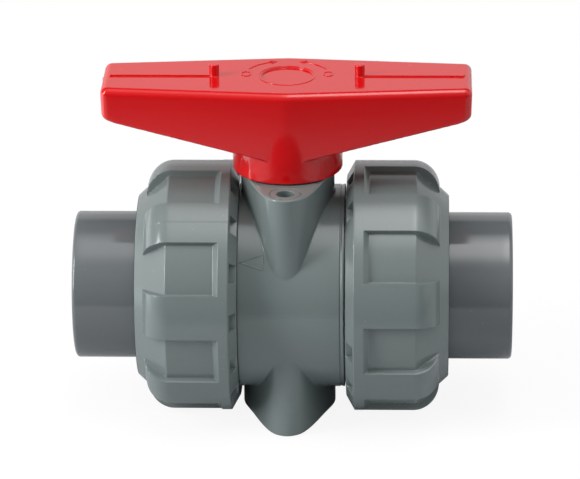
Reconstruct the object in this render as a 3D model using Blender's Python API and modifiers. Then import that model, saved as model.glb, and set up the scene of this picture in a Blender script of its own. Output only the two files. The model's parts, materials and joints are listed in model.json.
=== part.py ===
"""Manual union ball valve, nominal 1 inch (DN25), moulded in grey PVC with a red T handle.

The housing carries a ball between two PTFE seats. A stem keyed into the ball passes up
through the neck to the handle. Each pipe end is a loose socket connector that a union
nut clamps against the housing. A foot under the housing takes two threaded inserts.

Object units are metres and the dimensions below are millimetres. +Z is up, X runs along the
pipe and -Y is the front. Every piece is drawn about the centre of the ball. The empty
pipe_axis lifts them all, so that the model's origin is on the base of the foot, straight
under the stem.
"""

import math

import bmesh
import bpy
from mathutils import Matrix, Vector

MM = 0.001

# ---------------------------------------------------------------- shared dimensions, mm
# The ends of the housing and the column through it
HOUSING_X0, HOUSING_X1 = -28.9, 31.8
FLANGE_Z, FOOT_Z = 35.7, -35.4   # top and bottom of the column
BOLT_Y = 21.0                    # bolt holes and inserts, in front of and behind the stem axis
INSERT_HOLE_TOP_Z = -26.0

# Bores along the pipe
PORT_R = 12.6
SEAT_POCKET_R = 17.5
SEAT_POCKET_X = 17.8             # floor of each seat pocket, either side of the ball
FACE_GROOVE_R0, FACE_GROOVE_R1 = 14.5, 17.9
FACE_GROOVE_DEPTH = 2.6

# Seat carrier, seats and ball
CARRIER_FACE_X = 31.5
CARRIER_GROOVE_X = 16.6
SEAT_BACK_X = 15.5
BALL_R = 19.0
SLOT_W, SLOT_FLOOR_Z = 6.6, 14.6

# Stem
STEM_R = 6.0
STEM_FLANGE_TOP_Z = 22.9
STEM_POCKET_ROOF_Z = 24.1
STEM_GROOVES_Z = (25.6, 30.0)    # lower edge of each O-ring groove
STEM_SQUARE, STEM_TOP_Z = 8.4, 46.8
RING_GROOVE_W = 2.2              # O-ring grooves in the stem and the seat carrier

# Handle pegs, and the holes in the seat carrier that they fit
PEG_X, PEG_R = 20.0, 1.35


# ---------------------------------------------------------------- scene and materials
def clear_scene():
    for obj in list(bpy.data.objects):
        bpy.data.objects.remove(obj, do_unlink=True)


def new_collection(name):
    made = bpy.data.collections.new(name)
    bpy.context.scene.collection.children.link(made)
    return made


def material(name, colour, roughness, metallic=0.0):
    made = bpy.data.materials.new(name)
    made.use_nodes = True
    shader = made.node_tree.nodes["Principled BSDF"]
    shader.inputs["Base Color"].default_value = (*colour, 1.0)
    shader.inputs["Roughness"].default_value = roughness
    shader.inputs["Metallic"].default_value = metallic
    return made


clear_scene()
PARTS = new_collection("union_ball_valve")
CUTTERS = new_collection("cutters")   # shapes that are used up by the booleans

PVC_BODY = material("pvc_housing", colour=(0.155, 0.185, 0.185), roughness=0.32)
PVC_NUT = material("pvc_nut", colour=(0.175, 0.210, 0.208), roughness=0.34)
PVC_PIPE = material("pvc_connector", colour=(0.105, 0.115, 0.120), roughness=0.30)
PVC_RED = material("handle_red", colour=(0.60, 0.012, 0.016), roughness=0.22)
PTFE = material("ptfe_white", colour=(0.82, 0.82, 0.79), roughness=0.45)
RUBBER = material("epdm_black", colour=(0.02, 0.02, 0.02), roughness=0.6)
BRASS = material("brass", colour=(0.72, 0.52, 0.22), roughness=0.3, metallic=1.0)


# ---------------------------------------------------------------- outlines, mm
def arc(centre_x, centre_y, radius, start, end, count):
    """Points on a circle, angles in degrees."""
    angles = [math.radians(start + (end - start) * i / count) for i in range(count + 1)]
    return [(centre_x + radius * math.cos(a), centre_y + radius * math.sin(a)) for a in angles]


def sector(inner, outer, start, end):
    """Outline of part of a flat ring round the stem axis."""
    return arc(0, 0, outer, start, end, 6) + arc(0, 0, inner, end, start, 6)


def ring_groove(start, surface, floor):
    """Stretch of a turned profile that dips into an O-ring groove."""
    end = start + RING_GROOVE_W
    return [(start, surface), (start, floor), (end, floor), (end, surface)]


# ---------------------------------------------------------------- solids
def from_bmesh(name, shape, collection):
    mesh = bpy.data.meshes.new(name)
    shape.to_mesh(mesh)
    shape.free()
    obj = bpy.data.objects.new(name, mesh)
    collection.objects.link(obj)
    return obj


def freeze(obj):
    """Replaces obj's curve or modifiers by the evaluated mesh, welded, closed and facing out."""
    bpy.context.view_layer.update()
    graph = bpy.context.evaluated_depsgraph_get()
    mesh = bpy.data.meshes.new_from_object(obj.evaluated_get(graph))
    shape = bmesh.new()
    shape.from_mesh(mesh)
    bmesh.ops.remove_doubles(shape, verts=shape.verts, dist=0.000002)
    open_edges = [edge for edge in shape.edges if edge.is_boundary]
    if open_edges:
        bmesh.ops.holes_fill(shape, edges=open_edges, sides=0)
    bmesh.ops.recalc_face_normals(shape, faces=shape.faces)
    shape.to_mesh(mesh)
    shape.free()
    name, matrix, home = obj.name, obj.matrix_world.copy(), obj.users_collection[0]
    bpy.data.objects.remove(obj, do_unlink=True)
    made = bpy.data.objects.new(name, mesh)
    made.matrix_world = matrix
    home.objects.link(made)
    return made


def lathe(name, profile, axis, collection, closed=True, steps=28, turns=1.0, rise=0.0):
    """A turned shape. profile is (position along the axis, radius), and closed joins its ends.

    steps counts the facets in one turn. A rise makes the shape a helix.
    """
    shape = bmesh.new()
    points = []
    for along, radius in profile:
        where = (along, 0, radius) if axis == "X" else (radius, 0, along)
        points.append(shape.verts.new(Vector(where) * MM))
    for pair in zip(points, points[1:]):
        shape.edges.new(pair)
    if closed:
        shape.edges.new((points[-1], points[0]))
    obj = from_bmesh(name, shape, collection)
    screw = obj.modifiers.new("Screw", "SCREW")
    screw.axis = axis
    screw.angle = 2 * math.pi * turns
    screw.screw_offset = rise * MM
    screw.steps = screw.render_steps = round(steps * turns)
    screw.use_merge_vertices = rise == 0.0
    screw.merge_threshold = 0.00001
    return freeze(obj)


def thread(name, root, crest, first, turns, pitch, base_w, crest_w, steps):
    """A helical ridge along X that starts at x = first and climbs towards +X."""
    profile = [
        (first - base_w / 2, root), (first - crest_w / 2, crest),
        (first + crest_w / 2, crest), (first + base_w / 2, root),
    ]
    return lathe(name, profile, "X", CUTTERS, steps=steps, turns=turns, rise=pitch * turns)


def slab(name, outline, low, high, collection, upright=False):
    """An outline extruded from low to high along Z or, if upright, an XZ outline along -Y."""
    curve = bpy.data.curves.new(name, "CURVE")
    curve.dimensions = "2D"
    curve.fill_mode = "BOTH"
    curve.extrude = (high - low) / 2 * MM
    spline = curve.splines.new("POLY")
    spline.points.add(len(outline) - 1)
    for point, (across, along) in zip(spline.points, outline):
        point.co = (across * MM, along * MM, 0, 1)
    spline.use_cyclic_u = True
    obj = bpy.data.objects.new(name, curve)
    collection.objects.link(obj)
    middle = (low + high) / 2 * MM
    if upright:
        obj.rotation_euler = (math.pi / 2, 0, 0)
        obj.location = (0, -middle, 0)
    else:
        obj.location = (0, 0, middle)
    obj = freeze(obj)
    # move the placement into the mesh, so that the origin is the ball's centre
    obj.data.transform(obj.matrix_world)
    obj.matrix_world = Matrix.Identity(4)
    return obj


def cylinder(name, radius, start, end, segments):
    """A round cutter bar from start to end, both (x, y, z)."""
    start, end = Vector(start) * MM, Vector(end) * MM
    span = end - start
    shape = bmesh.new()
    bmesh.ops.create_cone(
        shape, cap_ends=True, segments=segments,
        radius1=radius * MM, radius2=radius * MM, depth=span.length,
    )
    turn = span.to_track_quat("Z", "Y").to_matrix().to_4x4()
    middle = Matrix.Translation((start + end) / 2)
    bmesh.ops.transform(shape, matrix=middle @ turn, verts=shape.verts)
    return from_bmesh(name, shape, CUTTERS)


def block(name, low, high):
    """A box cutter between two opposite corners."""
    low, high = Vector(low) * MM, Vector(high) * MM
    shape = bmesh.new()
    bmesh.ops.create_cube(shape, size=1.0)
    matrix = Matrix.Translation((low + high) / 2) @ Matrix.Diagonal((*(high - low), 1))
    bmesh.ops.transform(shape, matrix=matrix, verts=shape.verts)
    return from_bmesh(name, shape, CUTTERS)


def combine(obj, other, operation):
    """Adds other to obj, cuts it away or keeps what they share, and uses other up."""
    boolean = obj.modifiers.new(operation.title(), "BOOLEAN")
    boolean.operation = operation
    boolean.solver = "EXACT"
    boolean.object = other
    made = freeze(obj)
    bpy.data.objects.remove(other, do_unlink=True)
    return made


def finish(obj, look):
    obj.data.materials.clear()
    obj.data.materials.append(look)
    obj.data.shade_smooth()
    obj.data.set_sharp_from_angle(angle=math.radians(32))
    return obj


# ---------------------------------------------------------------- housing
BARREL_R = 28.35                 # housing between the two nuts
BARREL_X0, BARREL_X1 = -13.2, 15.9
BARREL_EDGE = 0.4
LINE_DEPTH = 0.3                 # shallow line turned round the barrel near its right end
NECK_CORE_R = 26.4               # core that carries the nut threads
NECK_EDGE = 0.8
CHAMBER_R = 22.0
CARRIER_BORE_R = 22.9
STEM_BORE_R, STEM_POCKET_R = 6.25, 9.0
FLANGE_HOLE_R, INSERT_HOLE_R = 2.65, 3.5

NUT_THREAD = dict(
    root=25.9, crest=27.9, turns=1.8, pitch=5.0, base_w=3.2, crest_w=1.6, steps=16
)
THREAD_LEFT_X, THREAD_RIGHT_X = -27.0, 19.4

PAD_R = 13.1                     # column round the stem axis
TIP_R, TIP_HALF_FLAT = 4.3, 1.3  # blunt bolt bosses in front and behind

STOP_R0, STOP_R1 = 9.0, 12.8
STOP_STARTS, STOP_SPAN = (21, 201), 48   # degrees


def column_outline():
    """A round pad on the stem axis that tapers to a bolt boss in front and behind."""
    flat = TIP_HALF_FLAT
    # direction from the pad's centre to where the tapering side leaves it, in degrees
    lean = math.degrees(
        math.asin((PAD_R - TIP_R) / math.hypot(flat, BOLT_Y)) - math.atan2(flat, BOLT_Y)
    )
    right = arc(0, 0, PAD_R, -lean, lean, 2)
    back = arc(flat, BOLT_Y, TIP_R, lean, 90, 4) + arc(-flat, BOLT_Y, TIP_R, 90, 180 - lean, 4)
    left = arc(0, 0, PAD_R, 180 - lean, 180 + lean, 2)
    front = (
        arc(-flat, -BOLT_Y, TIP_R, 180 + lean, 270, 4)
        + arc(flat, -BOLT_Y, TIP_R, 270, 360 - lean, 4)
    )
    return right + back + left + front


def housing_outside():
    """Barrel and necks, with the column and the two nut threads joined on."""
    profile = [
        (HOUSING_X0, 0), (HOUSING_X0, NECK_CORE_R - NECK_EDGE),
        (HOUSING_X0 + NECK_EDGE, NECK_CORE_R), (BARREL_X0, NECK_CORE_R),
        (BARREL_X0, BARREL_R - BARREL_EDGE), (BARREL_X0 + BARREL_EDGE, BARREL_R),
        (14.6, BARREL_R), (14.75, BARREL_R - LINE_DEPTH),
        (15.0, BARREL_R - LINE_DEPTH), (15.15, BARREL_R),
        (BARREL_X1 - BARREL_EDGE, BARREL_R), (BARREL_X1, BARREL_R - BARREL_EDGE),
        (BARREL_X1, NECK_CORE_R), (HOUSING_X1 - NECK_EDGE, NECK_CORE_R),
        (HOUSING_X1, NECK_CORE_R - NECK_EDGE), (HOUSING_X1, 0),
    ]
    housing = lathe("body", profile, "X", PARTS, closed=False, steps=36)
    column = slab("column", column_outline(), FOOT_Z, FLANGE_Z, CUTTERS)
    housing = combine(housing, column, "UNION")
    for first in (THREAD_LEFT_X, THREAD_RIGHT_X):
        ridge = thread("nut_thread", first=first, **NUT_THREAD)
        housing = combine(housing, ridge, "UNION")
    return housing


def pipe_bore():
    """Bores along the pipe, stepped from the left face to the open right end."""
    profile = [
        (HOUSING_X0 - 2, 0), (HOUSING_X0 - 2, PORT_R), (-SEAT_POCKET_X, PORT_R),
        (-SEAT_POCKET_X, SEAT_POCKET_R), (-11.3, SEAT_POCKET_R), (-11.3, CHAMBER_R),
        (15.0, CHAMBER_R), (15.0, CHAMBER_R + 0.3), (20.0, CHAMBER_R + 0.3),
        (20.0, CARRIER_BORE_R), (HOUSING_X1 + 2, CARRIER_BORE_R), (HOUSING_X1 + 2, 0),
    ]
    return lathe("core", profile, "X", CUTTERS, closed=False)


def left_face_groove():
    """O-ring groove in the housing's left face."""
    outside, floor = HOUSING_X0 - 1, HOUSING_X0 + FACE_GROOVE_DEPTH
    profile = [
        (outside, FACE_GROOVE_R0), (outside, FACE_GROOVE_R1),
        (floor, FACE_GROOVE_R1), (floor, FACE_GROOVE_R0),
    ]
    return lathe("face_groove", profile, "X", CUTTERS, steps=24)


def stem_bore():
    """Stem bore, with the wider pocket below that holds the stem's flange from inside."""
    profile = [
        (10.0, 0), (10.0, STEM_POCKET_R), (STEM_POCKET_ROOF_Z, STEM_POCKET_R),
        (STEM_POCKET_ROOF_Z, STEM_BORE_R), (38.0, STEM_BORE_R), (38.0, 0),
    ]
    return lathe("stem_bore", profile, "Z", CUTTERS, closed=False, steps=20)


def make_housing():
    housing = housing_outside()
    cutters = [pipe_bore(), left_face_groove(), stem_bore()]
    for y in (-BOLT_Y, BOLT_Y):
        cutters += [
            cylinder("flange_hole", FLANGE_HOLE_R, (0, y, 24.0), (0, y, 38.0), 16),
            cylinder("insert_hole", INSERT_HOLE_R, (0, y, -38.0), (0, y, INSERT_HOLE_TOP_Z), 16),
        ]
    for cutter in cutters:
        housing = combine(housing, cutter, "DIFFERENCE")

    # two quarter-turn stops that stand inside the handle's skirt
    for start in STOP_STARTS:
        outline = sector(STOP_R0, STOP_R1, start, start + STOP_SPAN)
        housing = combine(housing, slab("stop", outline, 34.5, 39.0, CUTTERS), "UNION")
    return finish(housing, PVC_BODY)


# ---------------------------------------------------------------- seat carrier, seats, ball
CARRIER_THREAD = dict(
    root=20.9, crest=22.5, first=22.2, turns=2.2, pitch=3.0, base_w=2.0, crest_w=1.0, steps=12
)
CARRIER_R = 22.0                 # lands either side of the O-ring groove
CARRIER_SLEEVE_R = 21.4          # threaded length
PEG_HOLE_GAP = 0.35
SEAT_R0, SEAT_R1 = 12.7, 17.2
SEAT_FACE_R1 = 16.0              # outer edge of the face that follows the ball
SEAT_GAP = 0.25
BALL_BORE_R = 12.5


def make_seat_carrier():
    groove_floor_x = CARRIER_FACE_X - FACE_GROOVE_DEPTH
    profile = [
        (11.6, SEAT_POCKET_R), (11.6, 21.3), (12.0, 21.7), (15.4, 21.7), (15.4, CARRIER_R),
        *ring_groove(CARRIER_GROOVE_X, CARRIER_R, 20.0),
        (19.8, CARRIER_R), (20.3, CARRIER_SLEEVE_R), (CARRIER_FACE_X, CARRIER_SLEEVE_R),
        (CARRIER_FACE_X, FACE_GROOVE_R1), (groove_floor_x, FACE_GROOVE_R1),
        (groove_floor_x, FACE_GROOVE_R0), (CARRIER_FACE_X, FACE_GROOVE_R0),
        (CARRIER_FACE_X, PORT_R), (SEAT_POCKET_X, PORT_R), (SEAT_POCKET_X, SEAT_POCKET_R),
    ]
    carrier = lathe("seat_carrier", profile, "X", PARTS, steps=24)
    carrier = combine(carrier, thread("carrier_thread", **CARRIER_THREAD), "UNION")
    # the handle's pegs fit these two holes to screw the carrier in or out
    for y in (-PEG_X, PEG_X):
        hole = cylinder("peg_hole", PEG_R + PEG_HOLE_GAP, (27.0, y, 0), (33.0, y, 0), 12)
        carrier = combine(carrier, hole, "DIFFERENCE")
    return finish(carrier, PVC_BODY)


def make_seat(name, side):
    """PTFE ring whose inner face follows the ball with a small gap. side is 1 on the right."""
    radii = [SEAT_R0 + (SEAT_FACE_R1 - SEAT_R0) * i / 3 for i in range(4)]
    face = [(math.sqrt((BALL_R + SEAT_GAP) ** 2 - radius**2), radius) for radius in radii]
    edge_x = face[-1][0]
    profile = face + [
        (edge_x, SEAT_R1 - 0.4), (edge_x + 0.4, SEAT_R1),
        (SEAT_BACK_X, SEAT_R1), (SEAT_BACK_X, SEAT_R0),
    ]
    profile = [(side * along, radius) for along, radius in profile]
    return finish(lathe(name, profile, "X", PARTS, steps=24), PTFE)


def make_ball():
    """Ball with its bore along X, and a slot across its top for the stem's tang."""
    edge = math.degrees(math.asin(BALL_BORE_R / BALL_R))
    ball = lathe("ball", arc(0, 0, BALL_R, edge, 180 - edge, 8), "X", PARTS)
    slot = block("slot", (-SLOT_W / 2, -25, SLOT_FLOOR_Z), (SLOT_W / 2, 25, 25))
    return finish(combine(ball, slot, "DIFFERENCE"), PVC_PIPE)


# ---------------------------------------------------------------- stem
STEM_FLANGE_R, STEM_FLANGE_Z = 8.6, 19.4
STEM_GROOVE_R = 4.2
STEM_ROUND_TOP_Z = 35.9
TANG_HALF_W, TANG_HALF_L, TANG_Z = 3.0, 6.6, 14.95
WASHER_R, WASHER_GAP = 8.7, 0.2


def make_stem():
    profile = [
        (STEM_FLANGE_Z, 0), (STEM_FLANGE_Z, STEM_FLANGE_R - 0.4),
        (STEM_FLANGE_Z + 0.4, STEM_FLANGE_R), (STEM_FLANGE_TOP_Z, STEM_FLANGE_R),
        (STEM_FLANGE_TOP_Z, STEM_R),
    ]
    for start in STEM_GROOVES_Z:
        profile += ring_groove(start, STEM_R, STEM_GROOVE_R)
    profile += [(STEM_ROUND_TOP_Z, STEM_R), (STEM_ROUND_TOP_Z, 0)]
    stem = lathe("stem", profile, "Z", PARTS, closed=False, steps=20)
    tang = block("tang", (-TANG_HALF_W, -TANG_HALF_L, TANG_Z), (TANG_HALF_W, TANG_HALF_L, 20.4))
    stem = combine(stem, tang, "UNION")
    half = STEM_SQUARE / 2
    square = block("square", (-half, -half, 34.9), (half, half, STEM_TOP_Z))
    return finish(combine(stem, square, "UNION"), PVC_BODY)


def make_thrust_washer():
    """PTFE ring between the stem's flange and the roof of its pocket."""
    low, high = STEM_FLANGE_TOP_Z + WASHER_GAP, STEM_POCKET_ROOF_Z - WASHER_GAP
    inner = STEM_R + 0.4
    profile = [(low, inner), (low, WASHER_R), (high, WASHER_R), (high, inner)]
    return finish(lathe("stem_thrust_washer", profile, "Z", PARTS, steps=24), PTFE)


# ---------------------------------------------------------------- union ends
NUT_R = 35.0
NUT_LENGTH = 28.4
NUT_BORE_R = 28.3
NUT_SHOULDER_X = 21.9            # start of the inner shoulder behind the connector's collar
NUT_HOLE_R = 20.95
NUT_POCKET_R = 33.5              # surface between the ribs
NUT_CONE_END_R = 25.3
NUT_RIBS, NUT_RIB_W = 8, 12.6
RIB_NOSE_X, RIB_NOSE_R = 18.6, 7.5

CONNECTOR_LENGTH = 30.2
CONNECTOR_R = 20.5
COLLAR_R, COLLAR_T, COLLAR_EDGE = 26.2, 5.7, 0.5
SOCKET_R, SOCKET_DEPTH, SOCKET_EDGE = 16.1, 22.2, 0.8
FACE_GAP = 0.3

# name, side (1 is +X), x of the nut's inner face, nut's roll in degrees, x of the housing's face
UNION_ENDS = (
    ("left", -1, -13.4, -6.8, HOUSING_X0),
    ("right", 1, 16.3, -13.3, HOUSING_X1),
)


def take_mesh(obj):
    """Removes obj and returns its mesh."""
    mesh = obj.data
    bpy.data.objects.remove(obj, do_unlink=True)
    return mesh


def nut_ribs():
    """Round-nosed ribs: a turned ring, of which bars through the axis keep eight pieces."""
    nose_centre_r = NUT_R - RIB_NOSE_R
    profile = [
        (4.6, 31.5), (4.6, NUT_R), *arc(RIB_NOSE_X, nose_centre_r, RIB_NOSE_R, 90, 0, 3),
        (23.6, nose_centre_r), (21.0, 31.5),
    ]
    ring = lathe("rib_ring", profile, "X", CUTTERS, steps=40)
    bar_count = NUT_RIBS // 2
    bars = None
    for k in range(bar_count):
        bar = block("bar", (4.0, -NUT_RIB_W / 2, -40), (27.0, NUT_RIB_W / 2, 40))
        bar.data.transform(Matrix.Rotation(math.pi * k / bar_count, 4, "X"))
        bars = bar if bars is None else combine(bars, bar, "UNION")
    return combine(ring, bars, "INTERSECT")


def nut_mesh():
    """One union nut, with its inner face at x = 0 and its pipe end at x = NUT_LENGTH."""
    profile = [
        (0, NUT_BORE_R + 0.4), (0, 31.0), (2.4, NUT_R), (5.0, NUT_R), (6.4, NUT_POCKET_R),
        (19.6, NUT_POCKET_R), (NUT_LENGTH, NUT_CONE_END_R), (NUT_LENGTH, NUT_HOLE_R),
        (NUT_SHOULDER_X, NUT_HOLE_R), (NUT_SHOULDER_X, NUT_BORE_R), (0.4, NUT_BORE_R),
    ]
    nut = lathe("nut", profile, "X", CUTTERS, steps=40)
    return take_mesh(finish(combine(nut, nut_ribs(), "UNION"), PVC_NUT))


def connector_mesh():
    """One socket connector, sealing face at x = 0 and pipe end at x = CONNECTOR_LENGTH."""
    end = CONNECTOR_LENGTH
    socket_floor = end - SOCKET_DEPTH
    profile = [
        (0, PORT_R), (0, COLLAR_R - COLLAR_EDGE), (COLLAR_EDGE, COLLAR_R),
        (COLLAR_T - COLLAR_EDGE, COLLAR_R), (COLLAR_T, COLLAR_R - COLLAR_EDGE),
        (COLLAR_T, CONNECTOR_R), (end - 1.0, CONNECTOR_R), (end - 0.3, CONNECTOR_R - 0.3),
        (end, CONNECTOR_R - 1.0), (end, SOCKET_R + SOCKET_EDGE), (end - SOCKET_EDGE, SOCKET_R),
        (socket_floor, SOCKET_R), (socket_floor, PORT_R),
    ]
    return take_mesh(finish(lathe("connector", profile, "X", CUTTERS, steps=32), PVC_PIPE))


def place(name, mesh, x, side, roll):
    """Puts a union part on its side of the valve, rolled about the pipe axis."""
    obj = bpy.data.objects.new(name, mesh)
    PARTS.objects.link(obj)
    turn = Matrix.Rotation(math.radians(roll), 4, "X")
    if side < 0:
        turn = turn @ Matrix.Rotation(math.pi, 4, "Z")
    obj.matrix_world = Matrix.Translation((x * MM, 0, 0)) @ turn


def make_union_ends():
    nut, connector = nut_mesh(), connector_mesh()
    for end, side, nut_x, nut_roll, face_x in UNION_ENDS:
        place(f"union_nut_{end}", nut, nut_x, side, nut_roll)
        place(f"end_connector_{end}", connector, face_x + side * FACE_GAP, side, 0)


# ---------------------------------------------------------------- handle
HANDLE_TOP_Z = 62.15
HANDLE_HALF_L = 50.75
HANDLE_HALF_W, HANDLE_END_HALF_W = 15.9, 11.3
HANDLE_BOTTOM_Z, HANDLE_SLOPE = 41.3, 0.236   # the underside rises towards the arm ends
HANDLE_WALL, HANDLE_ROOF = 2.6, 3.0
SKIRT_R, SKIRT_BORE_R, SKIRT_Z = 15.3, 13.3, 35.9
HUB_R = 8.6
LUG_STARTS, LUG_SPAN, LUG_OVERLAP = (-20, 160), 40, 0.6   # degrees, degrees, mm
PEG_H = 3.4
BAR_HALF_W, BAR_H, BAR_END_X = 0.9, 0.8, 48.4


def arms(name, inset, top, drop, collection):
    """The two arms, drawn in by inset, with their sloping underside moved down by drop."""
    length, middle, end = HANDLE_HALF_L - inset, HANDLE_HALF_W - inset, HANDLE_END_HALF_W - inset
    plan = [
        (-length, -end), (0, -middle), (length, -end),
        (length, end), (0, middle), (-length, end),
    ]
    low_end = HANDLE_BOTTOM_Z + HANDLE_SLOPE * length - drop
    side = [
        (-length, top), (-length, low_end), (0, HANDLE_BOTTOM_Z - drop),
        (length, low_end), (length, top),
    ]
    body = slab(name, plan, 30, top, collection)
    profile = slab("arm_side", side, -25, 25, CUTTERS, upright=True)
    return combine(body, profile, "INTERSECT")


def handle_outside():
    """Arms with rounded edges, and the round skirt below them, still solid."""
    handle = arms("handle", 0, HANDLE_TOP_Z, 0, PARTS)
    bevel = handle.modifiers.new("Bevel", "BEVEL")
    bevel.width = 2.0 * MM
    bevel.segments = 3
    bevel.limit_method = "ANGLE"
    bevel.angle_limit = math.radians(30)
    skirt = [(SKIRT_Z, 0), (SKIRT_Z, SKIRT_R), (47.0, SKIRT_R), (47.0, 0)]
    skirt = lathe("skirt", skirt, "Z", CUTTERS, closed=False)
    return combine(freeze(handle), skirt, "UNION")


def core_arms(handle):
    """Hollows the arms from below, one at a time, leaving the round column in the middle."""
    coring = arms("coring", HANDLE_WALL, HANDLE_TOP_Z - HANDLE_ROOF, 6.0, CUTTERS)
    column = cylinder("column", SKIRT_R, (0, 0, 25), (0, 0, 70), 28)
    coring = combine(coring, column, "DIFFERENCE")
    for side in (-1, 1):
        low_x, high_x = sorted((0, side * 60))
        half = block("half", (low_x, -30, 20), (high_x, 30, 70))
        piece = coring.copy()
        piece.data = coring.data.copy()
        CUTTERS.objects.link(piece)
        handle = combine(handle, combine(piece, half, "INTERSECT"), "DIFFERENCE")
    bpy.data.objects.remove(coring, do_unlink=True)
    return handle


def open_skirt(handle):
    """Cuts a ring-shaped space with two lugs left in it, and the stem's square socket."""
    space = [(35.0, HUB_R), (35.0, SKIRT_BORE_R), (46.0, SKIRT_BORE_R), (46.0, HUB_R)]
    handle = combine(handle, lathe("space", space, "Z", CUTTERS), "DIFFERENCE")
    for start in LUG_STARTS:
        outline = sector(HUB_R - LUG_OVERLAP, SKIRT_BORE_R + LUG_OVERLAP, start, start + LUG_SPAN)
        handle = combine(handle, slab("lug", outline, 36.5, 46.6, CUTTERS), "UNION")
    half = STEM_SQUARE / 2 + 0.2
    socket = block("socket", (-half, -half, 30), (half, half, STEM_TOP_Z + 0.4))
    return combine(handle, socket, "DIFFERENCE")


def make_handle():
    handle = open_skirt(core_arms(handle_outside()))
    # pegs that fit the seat carrier, and the raised bars that show the line of the pipe
    for side in (-1, 1):
        x = side * PEG_X
        peg = cylinder("peg", PEG_R, (x, 0, 60), (x, 0, HANDLE_TOP_Z + PEG_H), 12)
        handle = combine(handle, peg, "UNION")
        low_x, high_x = sorted((side * (PEG_X + 1.0), side * BAR_END_X))
        low, high = (low_x, -BAR_HALF_W, 60.5), (high_x, BAR_HALF_W, HANDLE_TOP_Z + BAR_H)
        handle = combine(handle, block("bar", low, high), "UNION")
    return finish(handle, PVC_RED)


# ---------------------------------------------------------------- foot inserts
INSERT_R, INSERT_BORE_R = 3.2, 2.1
INSERT_EDGE = 0.4                # chamfers, and depth of the groove round the insert


def make_insert(name, side):
    """Brass insert in the foot. side is -1 in front and 1 behind."""
    low, high = FOOT_Z + 0.2, INSERT_HOLE_TOP_Z - 0.4
    waist = INSERT_R - INSERT_EDGE
    profile = [
        (low, INSERT_BORE_R + INSERT_EDGE), (low, INSERT_R), (low + 3.4, INSERT_R),
        (low + 3.8, waist), (low + 4.8, waist), (low + 5.2, INSERT_R),
        (high - INSERT_EDGE, INSERT_R), (high, waist), (high, INSERT_BORE_R),
        (low + INSERT_EDGE, INSERT_BORE_R),
    ]
    obj = lathe(name, profile, "Z", PARTS, steps=16)
    obj.location = (0, side * BOLT_Y * MM, 0)
    return finish(obj, BRASS)


# ---------------------------------------------------------------- O-rings
BACKING_X = (SEAT_BACK_X + SEAT_POCKET_X) / 2
HALF_GROOVE = RING_GROOVE_W / 2

# name, radius to the cord's centre, cord radius, axis, place along the axis, facets round it
ORINGS = (
    ("seat_backing_oring_left", 15.0, 0.95, "X", -BACKING_X, 24),
    ("seat_backing_oring_right", 15.0, 0.95, "X", BACKING_X, 24),
    ("carrier_oring", 21.15, 0.95, "X", CARRIER_GROOVE_X + HALF_GROOVE, 24),
    ("face_oring_left", 16.2, 1.4, "X", HOUSING_X0 + 1.3, 24),
    ("face_oring_right", 16.2, 1.4, "X", CARRIER_FACE_X - 1.1, 24),
    ("stem_oring_lower", 5.2, 0.85, "Z", STEM_GROOVES_Z[0] + HALF_GROOVE, 18),
    ("stem_oring_upper", 5.2, 0.85, "Z", STEM_GROOVES_Z[1] + HALF_GROOVE, 18),
)


def make_oring(name, major, minor, axis, along, segments):
    bpy.ops.mesh.primitive_torus_add(
        major_segments=segments,
        minor_segments=6,
        major_radius=major * MM,
        minor_radius=minor * MM,
        location=Vector((along, 0, 0) if axis == "X" else (0, 0, along)) * MM,
        rotation=(0, math.pi / 2, 0) if axis == "X" else (0, 0, 0),
    )
    obj = bpy.context.object
    obj.name = obj.data.name = name
    for home in list(obj.users_collection):
        home.objects.unlink(obj)
    PARTS.objects.link(obj)
    return finish(obj, RUBBER)


# ---------------------------------------------------------------- assembly
def hang_on_pipe_axis():
    """Parents every piece to an empty as high as the ball's centre is above the foot's base."""
    pipe_axis = bpy.data.objects.new("pipe_axis", None)
    PARTS.objects.link(pipe_axis)
    pipe_axis.location = (0, 0, -FOOT_Z * MM)
    for piece in list(PARTS.objects):
        if piece.type == "MESH":
            piece.parent = pipe_axis


make_housing()
make_seat_carrier()
make_seat("seat_left", -1)
make_seat("seat_right", 1)
make_ball()
make_stem()
make_thrust_washer()
make_union_ends()
make_handle()
make_insert("foot_insert_front", -1)
make_insert("foot_insert_rear", 1)
for oring in ORINGS:
    make_oring(*oring)
hang_on_pipe_axis()
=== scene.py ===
"""Looks of a union ball valve: fine meshes for every piece, procedural plastics, a pale studio.

The pipe runs along X, the stem and the T-handle stand up along +Z, and the front faces -Y.
Piece sizes are in mm about the ball's centre. Lights and camera are in metres.
"""

import json
import math

import bmesh
import bpy
import numpy as np
from mathutils import Matrix, Vector


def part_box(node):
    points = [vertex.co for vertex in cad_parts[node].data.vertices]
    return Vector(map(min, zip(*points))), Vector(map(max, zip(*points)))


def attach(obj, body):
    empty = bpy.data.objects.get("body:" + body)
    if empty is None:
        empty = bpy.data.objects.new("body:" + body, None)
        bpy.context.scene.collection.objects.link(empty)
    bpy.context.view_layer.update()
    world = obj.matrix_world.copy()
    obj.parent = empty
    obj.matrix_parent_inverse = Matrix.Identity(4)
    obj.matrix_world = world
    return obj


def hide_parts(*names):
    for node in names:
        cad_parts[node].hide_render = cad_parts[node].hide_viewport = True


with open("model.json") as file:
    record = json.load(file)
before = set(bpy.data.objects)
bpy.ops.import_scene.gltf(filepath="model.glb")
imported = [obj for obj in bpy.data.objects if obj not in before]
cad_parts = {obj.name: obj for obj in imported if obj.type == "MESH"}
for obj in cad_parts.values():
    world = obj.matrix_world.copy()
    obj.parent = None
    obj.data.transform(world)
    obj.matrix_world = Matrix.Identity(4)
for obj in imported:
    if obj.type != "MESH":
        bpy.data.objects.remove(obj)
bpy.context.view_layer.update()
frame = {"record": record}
UNIT = 0.001  # one mm in metres

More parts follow.
